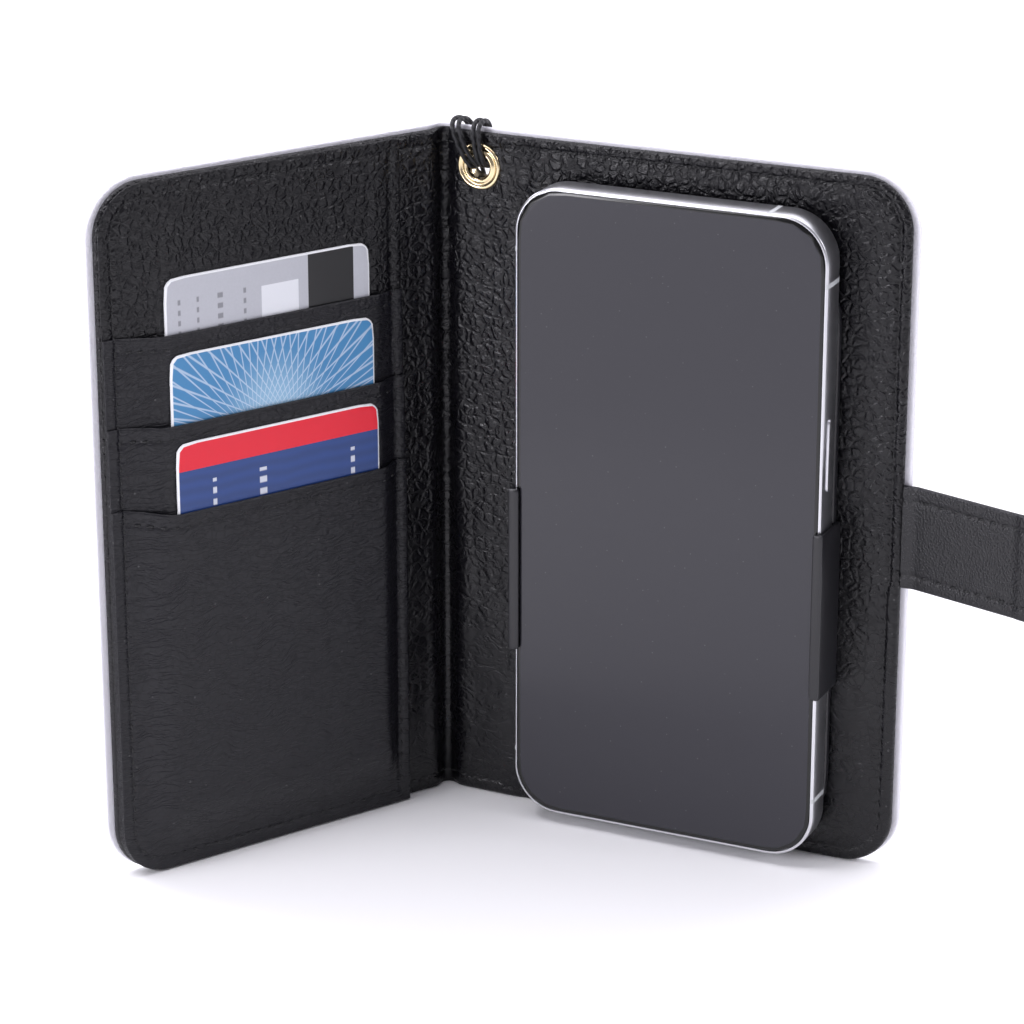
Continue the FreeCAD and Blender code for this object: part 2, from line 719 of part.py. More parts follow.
def cord_tube(route, diameter):
    """The cord as a round tube along the route."""
    path, radii = rounded_path(route)
    heading = FreeCAD.Vector(*route[1]) - FreeCAD.Vector(*route[0])
    ring = Part.Circle(FreeCAD.Vector(*route[0]), heading, diameter / 2).toShape()
    tube = path.makePipeShell([Part.Wire([ring])], True, True)
    expected = math.pi * diameter ** 2 / 4 * path.Length
    if abs(tube.Volume - expected) > 0.02 * expected:
        raise ValueError("the cord's volume is not its section times its length")
    print("cord length %.1f, radii %s" % (path.Length, [round(r, 1) for r in radii]))
    return tube


eyelet_cord = doc.addObject("Part::Feature", "EyeletCord")
eyelet_cord.Label = "eyelet_cord"
eyelet_cord.Shape = cord_tube(CORD_ROUTE, size("cord_across").value)

cord_ferrule = doc.addObject("Part::Cylinder", "CordFerrule")
cord_ferrule.Label = "cord_ferrule"
cord_ferrule.setExpression("Radius", (size("ferrule_across") * 0.5).text)
cord_ferrule.setExpression("Height", size("ferrule_long").text)

# ---------------------------------------------------------------- standing everything up
place(BACK_AT, back_skin, back_board, back_lining, strap_tongue, holder_tape, holder_plate,
      clip_left, clip_right, phone_frame, front_glass, back_glass, phone_core,
      antenna_bands, power_key)
place(SPINE_AT, spine_skin, spine_board, spine_lining, eyelet_cord)
place(FRONT_AT, front_skin, front_board, front_lining, cover_magnet, cash_panel,
      pocket_1, pocket_2, pocket_3, card_1, card_2, card_3)

EYELET_CENTRE = FreeCAD.Vector(EYELET_X.value, 0, EYELET_Z.value)
EYELET_AT = SPINE_AT.multiply(FreeCAD.Placement(EYELET_CENTRE, FreeCAD.Rotation()))
place(EYELET_AT, eyelet_barrel, eyelet_washer)
FERRULE_FOOT = FreeCAD.Vector(
    EYELET_X.value,
    size("ferrule_back").value,
    size("ferrule_top").value - size("ferrule_long").value,
)
place(SPINE_AT.multiply(FreeCAD.Placement(FERRULE_FOOT, FreeCAD.Rotation())), cord_ferrule)

ROOT_POINT = BACK_AT.multVec(FreeCAD.Vector(ROOT_FOLD.value, -STRAP_DEPTH.value, 0))
STRAP_YAW = -(size("back_yaw").value + size("strap_yaw").value)
GUSSET_AT = turned(ROOT_POINT.x, ROOT_POINT.y, STRAP_YAW)
FOLD_POINT = GUSSET_AT.multVec(FreeCAD.Vector(GUSSET_LONG.value, 0, 0))
TAB_AT = turned(FOLD_POINT.x, FOLD_POINT.y, STRAP_YAW)
place(GUSSET_AT, gusset_inner, gusset_outer)
place(TAB_AT, tab_inner, tab_outer, tab_core, tab_magnet)

doc.recompute()

# ---------------------------------------------------------------- checks and writing
for item in doc.Objects:
    if "Invalid" in item.State or "Error" in item.State:
        raise ValueError("%s did not rebuild: %s" % (item.Label, item.State))
for item in pieces:
    if item.Shape.isNull() or not item.Shape.isValid():
        raise ValueError(item.Label + " has no valid shape")

for name, point in (("back crease", BACK_CREASE), ("front crease", FRONT_CREASE),
                    ("strap root fold", ROOT_POINT), ("strap tab fold", FOLD_POINT)):
    print("%s at x %.4f y %.4f" % (name, point.x, point.y))

os.makedirs("parts", exist_ok=True)
for item in pieces:
    item.Shape.exportStep("parts/%s.step" % item.Label)
print("%d pieces written" % len(pieces))
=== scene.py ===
"""The looks of a phone wallet case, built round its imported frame.

The case stands open on its bottom edges. Lengths in this file are millimetres until a mesh is
written; each panel is drawn flat (across, up, depth towards the inside) and then stood in place.
"""

import json
import logging
import math
from dataclasses import dataclass, field
from enum import Enum
from functools import partial
from typing import Callable, Sequence

import bmesh
import bpy
import numpy as np
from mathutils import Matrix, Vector


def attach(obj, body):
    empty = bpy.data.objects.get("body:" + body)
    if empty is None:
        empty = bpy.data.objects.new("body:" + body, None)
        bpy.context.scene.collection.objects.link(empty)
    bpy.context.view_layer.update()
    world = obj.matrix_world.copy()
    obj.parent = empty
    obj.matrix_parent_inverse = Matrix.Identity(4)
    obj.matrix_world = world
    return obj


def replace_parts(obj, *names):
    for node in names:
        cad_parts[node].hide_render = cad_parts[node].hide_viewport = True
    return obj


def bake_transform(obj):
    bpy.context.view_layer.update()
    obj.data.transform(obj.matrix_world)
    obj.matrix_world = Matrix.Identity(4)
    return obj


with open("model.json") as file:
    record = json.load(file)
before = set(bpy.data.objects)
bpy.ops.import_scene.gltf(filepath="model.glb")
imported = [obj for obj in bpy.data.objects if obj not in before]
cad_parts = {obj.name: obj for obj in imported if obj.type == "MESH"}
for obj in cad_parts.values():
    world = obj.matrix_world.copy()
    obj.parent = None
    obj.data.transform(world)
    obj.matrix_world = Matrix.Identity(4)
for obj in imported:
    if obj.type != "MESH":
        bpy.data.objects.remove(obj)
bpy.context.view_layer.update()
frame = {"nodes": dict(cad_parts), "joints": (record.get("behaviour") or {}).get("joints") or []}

log = logging.getLogger("wallet_case")

MM = 0.001
Numbers = np.ndarray
Relief = Callable[[Numbers, Numbers, Numbers, Numbers], Numbers]
Surface = Callable[[Numbers, Numbers], Numbers]
Point = tuple[float, float]
Triple = tuple[float, float, float]

PLACE = "flat_place"
TO_EDGE = "to_edge"
SEAM_AT = 5.0  # across the spine: where the leather of the two halves meets, clear of the eyelet
FOLD_MARGIN = 0.6  # past the bend of a crease, before a sheet is still
CORNER_AT = 80.5  # across a cover: where its rounded corners begin
FAR = 1e3  # farther from an edge than any point of a sheet
CORNER_STEPS = 24  # steps of a stitch path round a corner
WAVE = 6.28  # turns a length into the scale of a wave texture
HASH_X, HASH_Y, HASH_SEED, HASH_MIX, WORD = 374761393, 668265263, 974711, 1274126177, 0xFFFFFFFF


# ---------------------------------------------------------------- repeatable surface noise
def lattice(ix: Numbers, iy: Numbers, seed: int) -> Numbers:
    """Gives each whole-numbered cell its own fixed number from 0 to 1."""
    mixed = (ix * HASH_X + iy * HASH_Y + seed * HASH_SEED) & WORD
    mixed = ((mixed ^ (mixed >> 13)) * HASH_MIX) & WORD
    return ((mixed ^ (mixed >> 16)) & 0xFFFF) / 65535.0


def ripple(x: Numbers, y: Numbers, seed: int) -> Numbers:
    """Smooth noise from -1 to 1 with features about one unit across."""
    ix, iy = np.floor(x).astype(np.int64), np.floor(y).astype(np.int64)
    fx, fy = x - ix, y - iy
    u, v = fx * fx * (3 - 2 * fx), fy * fy * (3 - 2 * fy)
    low = lattice(ix, iy, seed) * (1 - u) + lattice(ix + 1, iy, seed) * u
    high = lattice(ix, iy + 1, seed) * (1 - u) + lattice(ix + 1, iy + 1, seed) * u
    return 2 * (low * (1 - v) + high * v) - 1


def layered(x: Numbers, y: Numbers, seed: int, layers: int = 3) -> Numbers:
    """Several sizes of smooth noise added together."""
    total = np.zeros_like(x)
    for layer in range(layers):
        total = total + ripple(x * 2 ** layer, y * 2 ** layer, seed + 17 * layer) / 2 ** layer
    return total / 1.6


def pebbles(x: Numbers, y: Numbers, seed: int) -> Numbers:
    """Rounded pebbles about one unit across: 0 in the valleys between them, towards 1 on top."""
    ix, iy = np.floor(x).astype(np.int64), np.floor(y).astype(np.int64)
    nearest = np.full(x.shape, 9.0)
    second = np.full(x.shape, 9.0)
    for dx in (-1, 0, 1):
        for dy in (-1, 0, 1):
            cx = ix + dx + lattice(ix + dx, iy + dy, seed)
            cy = iy + dy + lattice(ix + dx, iy + dy, seed + 5)
            away = np.hypot(x - cx, y - cy)
            second = np.minimum(second, np.maximum(nearest, away))
            nearest = np.minimum(nearest, away)
    return np.clip((second - nearest) / 0.45, 0, 1)


def smooth(start: float, end: float, value: Numbers) -> Numbers:
    """Rises smoothly from 0 at start to 1 at end."""
    t = np.clip((value - start) / (end - start), 0, 1)
    return t * t * (3 - 2 * t)


# ---------------------------------------------------------------- flat frames of the panels
@dataclass(frozen=True)
class Flat:
    """The flat frame of one panel. Its hinge plane is at depth 0.

    A sheet that crosses the panel's fold line turns to the yaw of the panel beyond it.
    """

    origin: Point
    yaw: float
    beyond: float | None = None
    side: int = 1
    bend: float = 3.2

    def row(self, across: Numbers, up: Numbers, depth: Numbers) -> Numbers:
        """Stands flat points in place.

        Args:
            across: Distances from the fold line, in millimetres.
            up: Heights.
            depth: Depths towards the inside of the case.

        Returns:
            The points in the row frame, in metres.
        """
        turn = np.full(np.shape(across), self.yaw)
        if self.beyond is not None:
            share = smooth(self.bend, -self.bend, np.asarray(across) * self.side)
            turn = self.yaw + (self.beyond - self.yaw) * share
        x = self.origin[0] + across * np.cos(turn) + depth * np.sin(turn)
        y = self.origin[1] + across * np.sin(turn) - depth * np.cos(turn)
        return np.stack([x, y, np.broadcast_to(up, np.shape(x))], axis=-1) * MM

    def point(self, across: float, up: float, depth: float) -> Vector:
        """Stands one flat point in place, in metres."""
        return Vector(self.row(np.array([across]), np.array([up]), np.array([depth]))[0])

    def box(self, node: str) -> tuple[Numbers, Numbers]:
        """Gives a CAD node's lowest and highest (across, up, depth) in this flat frame."""
        points = vertex_array(node) / MM
        x, y = points[:, 0] - self.origin[0], points[:, 1] - self.origin[1]
        c, s = math.cos(self.yaw), math.sin(self.yaw)
        flat = np.stack([x * c + y * s, points[:, 2], x * s - y * c], axis=-1)
        return flat.min(axis=0), flat.max(axis=0)

    def centre(self, node: str) -> Triple:
        """Gives the middle of a CAD node's box in this flat frame."""
        low, high = self.box(node)
        return tuple((low + high) / 2)


def vertex_array(node: str) -> Numbers:
    """Gives the vertices of a CAD node, in metres."""
    mesh = frame["nodes"][node].data
    points = np.zeros(len(mesh.vertices) * 3)
    mesh.vertices.foreach_get("co", points)
    return points.reshape(-1, 3)


def yaw_of(node: str) -> float:
    """Gives the direction of a flat upright CAD plate, as an angle from +X."""
    plan = vertex_array(node)[:, :2]
    values, vectors = np.linalg.eigh(np.cov((plan - plan.mean(axis=0)).T))
    x, y = vectors[:, int(np.argmax(values))]
    return math.atan2(y, x) if x > 0 else math.atan2(-y, -x)


def hinge_point(joint: str) -> Point:
    """Gives where a fold line stands, in millimetres."""
    found = next(j for j in frame["joints"] if j["name"] == joint)
    return found["pos_m"][0] / MM, found["pos_m"][1] / MM


def direction(start: Point, end: Point) -> float:
    """Gives the angle from +X of the line between two points."""
    return math.atan2(end[1] - start[1], end[0] - start[0])


BACK_FOLD, FRONT_FOLD = hinge_point("spine_fold"), hinge_point("front_fold")
ROOT_FOLD, TAB_FOLD = hinge_point("strap_root_fold"), hinge_point("strap_tab_fold")
SPINE_YAW = direction(FRONT_FOLD, BACK_FOLD)
STRAP_YAW = direction(ROOT_FOLD, TAB_FOLD)
SPINE_HALF = math.dist(FRONT_FOLD, BACK_FOLD) / 2
BACK = Flat(BACK_FOLD, yaw_of("holder_plate"), beyond=SPINE_YAW, side=1)
FRONT = Flat(FRONT_FOLD, yaw_of("card_2"), beyond=SPINE_YAW, side=-1)
HELD = Flat(BACK_FOLD, BACK.yaw)  # the back cover's frame for rigid pieces, which don't bend
SPINE = Flat((0.0, 0.0), SPINE_YAW)
STRAP_ROOT = Flat(ROOT_FOLD, STRAP_YAW, beyond=BACK.yaw, side=1, bend=1.6)
STRAP_TAB = Flat(TAB_FOLD, STRAP_YAW)


# ---------------------------------------------------------------- meshes
class Side(Enum):
    """The four sides of a flat sheet."""

    LEFT = "left"
    RIGHT = "right"
    LOW = "low"
    HIGH = "high"


class Corner(Enum):
    """The corners of a flat sheet, by which way they point."""

    BOTTOM_LEFT = (-1, -1)
    BOTTOM_RIGHT = (1, -1)
    TOP_RIGHT = (1, 1)
    TOP_LEFT = (-1, 1)


LEFT_CORNERS = (Corner.TOP_LEFT, Corner.BOTTOM_LEFT)
RIGHT_CORNERS = (Corner.TOP_RIGHT, Corner.BOTTOM_RIGHT)
ALL_CORNERS = tuple(Corner)


def link(name: str, data: bpy.types.ID) -> bpy.types.Object:
    """Puts data into the scene as a named object."""
    made = bpy.data.objects.new(name, data)
    bpy.context.scene.collection.objects.link(made)
    return made


def write_mesh(name: str, points: Numbers, faces: Sequence[Sequence[int]],
               place: Numbers, to_edge: Numbers | None = None,
               sharp: float = 50.0) -> bpy.types.Object:
    """Makes an object from points in metres.

    Args:
        name: The piece's name.
        points: The points in the row frame.
        faces: Their faces, as lists of point numbers.
        place: Each point's flat place in millimetres, for the finish to read.
        to_edge: Each point's distance from the nearest finished edge.
        sharp: Edges that turn by more than this many degrees stay crisp.

    Returns:
        The new object, with smooth shading and its faces turned outwards.
    """
    edge = np.zeros(len(points)) if to_edge is None else np.minimum(to_edge, FAR)
    mesh = bpy.data.meshes.new(name)
    mesh.from_pydata([tuple(p) for p in points.tolist()], [], faces)
    for title, kind, key, values in ((PLACE, "FLOAT_VECTOR", "vector", place),
                                     (TO_EDGE, "FLOAT", "value", edge)):
        stored = mesh.attributes.new(title, kind, "POINT")
        stored.data.foreach_set(key, values.astype(np.float32).ravel())
    built = bmesh.new()
    built.from_mesh(mesh)
    loose = [v for v in built.verts if not v.link_faces]
    bmesh.ops.delete(built, geom=loose, context="VERTS")
    bmesh.ops.recalc_face_normals(built, faces=built.faces)
    built.to_mesh(mesh)
    built.free()
    mesh.polygons.foreach_set("use_smooth", [True] * len(mesh.polygons))
    mesh.set_sharp_from_angle(angle=math.radians(sharp))
    return link(name, mesh)


FINE_LINES = (0.0, 0.08, 0.22, 0.42, 0.7, 1.0, 1.35, 1.7, 2.05, 2.35, 2.65, 2.95, 3.25,
              3.55, 3.85, 4.2, 4.6, 5.1, 5.7)


def ruled_lines(low: float, high: float, step: float, fine_low: bool, fine_high: bool,
                fine: Sequence[float]) -> Numbers:
    """Gives grid lines from low to high, closer together beside a finished edge."""
    start = [low + f for f in fine] if fine_low else [low]
    end = [high - f for f in reversed(fine)] if fine_high else [high]
    count = max(1, round((end[0] - start[-1]) / step))
    middle = np.linspace(start[-1], end[0], count + 1)[1:-1]
    return np.array([*start, *middle, *end])


@dataclass
class Sheet:
    """A thin piece with straight sides, round corners and finished edges."""

    left: float
    right: float
    low: float
    high: float
    back: float
    front: float
    radius: float = 0.0
    corners: tuple[Corner, ...] = ()
    edge: float = 0.6
    step: float = 0.9
    open_sides: tuple[Side, ...] = ()
    hem: float | None = None
    holes: tuple[Triple, ...] = ()
    fine: tuple[float, ...] = FINE_LINES

    @classmethod
    def of(cls, flat: Flat, node: str, **changes: object) -> "Sheet":
        """Gives a sheet that fills a CAD node's box in a flat frame."""
        low, high = flat.box(node)
        sizes = dict(left=low[0], right=high[0], low=low[1], high=high[1],
                     back=low[2], front=high[2])
        return cls(**{**sizes, **changes})

    def measure(self, x: Numbers, z: Numbers) -> tuple[Numbers, Numbers]:
        """Measures points against the outline.

        Returns:
            Each point's distance to the nearest finished side, and its run along that side.
        """
        sides = {
            Side.LEFT: (x - self.left, z), Side.RIGHT: (self.right - x, z),
            Side.LOW: (z - self.low, x), Side.HIGH: (self.high - z, x),
        }
        nearest, run = np.full(x.shape, FAR), np.zeros_like(x)
        for side, (away, along) in sides.items():
            if side not in self.open_sides:
                run = np.where(away < nearest, along, run)
                nearest = np.minimum(nearest, away)
        for corner in self.corners:
            cx, cz = self.arc_centre(corner)
            a, b = (x - cx) * corner.value[0], (z - cz) * corner.value[1]
            inside = (a > 0) & (b > 0)
            nearest = np.where(inside, self.radius - np.hypot(a, b), nearest)
            run = np.where(inside, self.radius * np.arctan2(b, a + 1e-9), run)
        return np.maximum(nearest, 0), run

    def arc_centre(self, corner: Corner) -> Point:
        """Gives the centre of a round corner."""
        sx, sz = corner.value
        cx = self.right - self.radius if sx > 0 else self.left + self.radius
        cz = self.high - self.radius if sz > 0 else self.low + self.radius
        return cx, cz

    def grid(self) -> tuple[Numbers, Numbers]:
        """Gives the sheet's grid of points, rounded at its corners."""
        shut = [side not in self.open_sides for side in Side]
        xs = ruled_lines(self.left, self.right, self.step, shut[0], shut[1], self.fine)
        zs = ruled_lines(self.low, self.high, self.step, shut[2], shut[3], self.fine)
        x, z = np.meshgrid(xs, zs, indexing="ij")
        for corner in self.corners:
            (cx, cz), (sx, sz) = self.arc_centre(corner), corner.value
            a, b = (x - cx) * sx / self.radius, (z - cz) * sz / self.radius
            inside = (a > 0) & (b > 0)
            squeeze_x = np.sqrt(np.clip(1 - b * b / 2, 0, 1))
            squeeze_z = np.sqrt(np.clip(1 - a * a / 2, 0, 1))
            x = np.where(inside, cx + sx * self.radius * a * squeeze_x, x)
            z = np.where(inside, cz + sz * self.radius * b * squeeze_z, z)
        return x, z

    def build(self, name: str, flat: Flat, relief: Relief | None = None,
              back_relief: Relief | None = None, shift: float = 0.0,
              warp: Surface | None = None) -> bpy.types.Object:
        """Builds the sheet and stands it in place.

        Args:
            name: The piece's name.
            flat: The flat frame it lies in.
            relief: Gives the front's depth from x, z, distance to the edge and run along it.
            back_relief: The same for the back.
            shift: Added to x for the finish, so that neighbours share one pattern.
            warp: Gives new heights from x and z, for an edge that isn't straight.

        Returns:
            The new object.
        """
        x, z = self.grid()
        away, run = self.measure(x, z)
        front = relief(x, z, away, run) if relief else np.full(x.shape, self.front)
        back = back_relief(x, z, away, run) if back_relief else np.full(x.shape, self.back)
        if warp:
            z = warp(x, z)
        middle = (front + back) / 2
        swell = np.sqrt(np.clip(1 - (1 - np.clip(away / self.edge, 0, 1)) ** 2, 0, 1))
        front, back = middle + (front - middle) * swell, middle + (back - middle) * swell
        nx, nz = x.shape
        number = np.arange(nx * nz).reshape(nx, nz)
        rim = away < 1e-6
        keep_back = ~rim if self.hem is None else ~rim & (away <= self.hem)
        under = np.where(rim, number, -1)
        under[keep_back] = nx * nz + np.arange(int(keep_back.sum()))
        faces = self.quads(number, x, z, flip=False) + self.quads(under, x, z, flip=True)
        across = np.concatenate([x.ravel(), x[keep_back]])
        up = np.concatenate([z.ravel(), z[keep_back]])
        depth = np.concatenate([front.ravel(), back[keep_back]])
        edge = np.concatenate([away.ravel(), away[keep_back]])
        place = np.stack([across + shift, up, depth], axis=-1)
        return write_mesh(name, flat.row(across, up, depth), faces, place, edge)

    def quads(self, number: Numbers, x: Numbers, z: Numbers, flip: bool) -> list[list[int]]:
        """Gives the faces of one side, leaving out its holes and unused points."""
        a, b = number[:-1, :-1], number[1:, :-1]
        c, d = number[1:, 1:], number[:-1, 1:]
        used = (a >= 0) & (b >= 0) & (c >= 0) & (d >= 0)
        mx, mz = (x[:-1, :-1] + x[1:, 1:]) / 2, (z[:-1, :-1] + z[1:, 1:]) / 2
        for hx, hz, radius in self.holes:
            used &= np.hypot(mx - hx, mz - hz) > radius
        order = (d, c, b, a) if flip else (a, b, c, d)
        return np.stack([part[used] for part in order], axis=-1).tolist()

    def surface(self, relief: Relief) -> Surface:
        """Gives a relief of this sheet as depths at x and z, for stitches to lie on."""
        return lambda x, z: relief(x, z, *self.measure(x, z))

    def border(self, inset: float, sides: Sequence[Side], spacing: float = 0.25) -> Numbers:
        """Gives points along the finished sides, drawn in by the inset.

        Args:
            inset: The distance from the outline.
            sides: The sides to follow, in order.
            spacing: The distance between points.

        Returns:
            The points as an array of (x, z).
        """
        r = max(self.radius - inset, 0.0)
        x0, x1 = self.left + inset, self.right - inset
        z0, z1 = self.low + inset, self.high - inset
        if Side.LEFT in self.open_sides:
            x0 = self.left
        if Side.RIGHT in self.open_sides:
            x1 = self.right
        cut = {c: (r if c in self.corners else 0.0) for c in Corner}
        lines = {
            Side.LOW: ((x0 + cut[Corner.BOTTOM_LEFT], z0), (x1 - cut[Corner.BOTTOM_RIGHT], z0)),
            Side.RIGHT: ((x1, z0 + cut[Corner.BOTTOM_RIGHT]), (x1, z1 - cut[Corner.TOP_RIGHT])),
            Side.HIGH: ((x1 - cut[Corner.TOP_RIGHT], z1), (x0 + cut[Corner.TOP_LEFT], z1)),
            Side.LEFT: ((x0, z1 - cut[Corner.TOP_LEFT]), (x0, z0 + cut[Corner.BOTTOM_LEFT])),
        }
        after = {Side.LOW: (Corner.BOTTOM_RIGHT, -90), Side.RIGHT: (Corner.TOP_RIGHT, 0),
                 Side.HIGH: (Corner.TOP_LEFT, 90), Side.LEFT: (Corner.BOTTOM_LEFT, 180)}
        points: list[Point] = []
        for i, side in enumerate(sides):
            (ax, az), (bx, bz) = lines[side]
            count = max(2, int(math.dist((ax, az), (bx, bz)) / spacing))
            points += [(ax + (bx - ax) * k / count, az + (bz - az) * k / count)
                       for k in range(count + 1)]
            corner, start = after[side]
            if i + 1 < len(sides) and corner in self.corners and r > 0:
                cx, cz = self.arc_centre(corner)
                turn = [math.radians(start + 90 * k / CORNER_STEPS)
                        for k in range(1, CORNER_STEPS)]
                points += [(cx + r * math.cos(t), cz + r * math.sin(t)) for t in turn]
        return np.array(points)


@dataclass(frozen=True)
class Thread:
    """A row of stitches: short fat grains of thread, sunk at both ends.

    The bow is how far the ends sink, as a share of the gauge. A smaller blunt gives the
    grains fuller ends.
    """

    pitch: float = 3.0
    length: float = 2.3
    gauge: float = 0.55
    slant: float = 9.0
    rings: int = 7
    around: int = 7
    proud: float = 0.12
    bow: float = 0.9
    blunt: float = 0.35

    def sew(self, name: str, flat: Flat, paths: Sequence[Numbers],
            surface: Surface, shift: float = 0.0, outward: float = 1.0) -> bpy.types.Object:
        """Sews stitches along flat paths.

        Args:
            name: The piece's name.
            flat: The flat frame of the paths.
            paths: Arrays of (x, z) points.
            surface: Gives the depth of the leather at x and z.
            shift: Added to x for the finish.
            outward: 1 where the stitches face the inside of the case, -1 where they face out.

        Returns:
            One object with all the stitches.
        """
        centres, headings = [], []
        for path in paths:
            steps = np.hypot(*np.diff(path, axis=0).T)
            along = np.concatenate([[0], np.cumsum(steps)])
            count = max(1, int(along[-1] / self.pitch))
            at = (np.arange(count) + 0.5) * along[-1] / count
            ahead = 0.2
            for target, store in ((at, centres), (at + ahead, headings)):
                store.append(np.stack([np.interp(target, along, path[:, k]) for k in (0, 1)], -1))
        middle = np.concatenate(centres)
        heading = np.concatenate(headings) - middle
        heading /= np.maximum(np.linalg.norm(heading, axis=1, keepdims=True), 1e-9)
        c, s = math.cos(math.radians(self.slant)), math.sin(math.radians(self.slant))
        heading = heading @ np.array([[c, s], [-s, c]])
        level = surface(middle[:, 0], middle[:, 1])
        u = np.repeat(np.linspace(-1, 1, self.rings), self.around)
        turn = np.tile(np.arange(self.around) * 2 * math.pi / self.around, self.rings)
        thick = self.gauge / 2 * np.power(np.clip(1 - u * u, 0.02, 1), self.blunt)
        along = u * self.length / 2
        beside = thick * np.cos(turn)
        raised = thick * np.sin(turn) + self.proud - self.gauge * self.bow * u * u
        x = middle[:, :1] + heading[:, :1] * along - heading[:, 1:] * beside
        z = middle[:, 1:] + heading[:, 1:] * along + heading[:, :1] * beside
        depth = level[:, None] + outward * raised
        one = self.tube_faces()
        size = self.rings * self.around
        faces = [[k * size + v for v in face] for k in range(len(middle)) for face in one]
        place = np.stack([x.ravel() + shift, z.ravel(), depth.ravel()], axis=-1)
        return write_mesh(name, flat.row(x.ravel(), z.ravel(), depth.ravel()), faces, place)

    def tube_faces(self) -> list[list[int]]:
        """Gives the faces of one stitch, with both ends closed."""
        n, last = self.around, (self.rings - 1) * self.around
        ends = [list(range(n))[::-1], list(range(last, last + n))]
        return ring_faces(self.rings, n, looped=False) + ends


def ring_faces(rows: int, around: int, looped: bool) -> list[list[int]]:
    """Gives the faces between rows of points that each run round a ring.

    Args:
        rows: How many rings there are.
        around: How many points each ring has.
        looped: Whether the last ring joins the first.

    Returns:
        The faces, as lists of point numbers.
    """
    faces = []
    for i in range(rows if looped else rows - 1):
        j = (i + 1) % rows
        for k in range(around):
            m = (k + 1) % around
            faces.append([i * around + k, i * around + m, j * around + m, j * around + k])
    return faces


def turned(name: str, flat: Flat, centre: Point, profile: Sequence[Point], around: int = 96
           ) -> bpy.types.Object:
    """Turns a profile of (radius, depth) about an axis through the panel.

    Args:
        name: The piece's name.
        flat: The flat frame that holds the centre.
        centre: Where the axis crosses the panel, as (across, up).
        profile: The section's points; the last one joins the first.
        around: How many steps make a full turn.

    Returns:
        The new object.
    """
    turn = np.arange(around) * 2 * math.pi / around
    radius, depth = np.array(profile).T
    x = centre[0] + radius[:, None] * np.cos(turn)
    z = centre[1] + radius[:, None] * np.sin(turn)
    d = np.repeat(depth[:, None], around, axis=1)
    faces = ring_faces(len(profile), around, looped=True)
    place = np.stack([x.ravel(), z.ravel(), d.ravel()], axis=-1)
    return write_mesh(name, flat.row(x.ravel(), z.ravel(), d.ravel()), faces, place, sharp=60)


def swept(name: str, flat: Flat, sections: Sequence[Sequence[Triple]],
          looped: bool) -> bpy.types.Object:
    """Joins closed sections of flat points into one solid piece.

    Args:
        name: The piece's name.
        flat: The flat frame of the points.
        sections: Lists of (across, up, depth), all of one length.
        looped: Whether the last section joins the first; otherwise both ends are capped.

    Returns:
        The new object.
    """
    points = np.array(sections, float)
    rows, n = points.shape[:2]
    faces = ring_faces(rows, n, looped)
    if not looped:
        faces += [list(range(n)), list(range((rows - 1) * n, rows * n))[::-1]]
    flat_points = points.reshape(-1, 3)
    return write_mesh(name, flat.row(*flat_points.T), faces, flat_points, sharp=35)


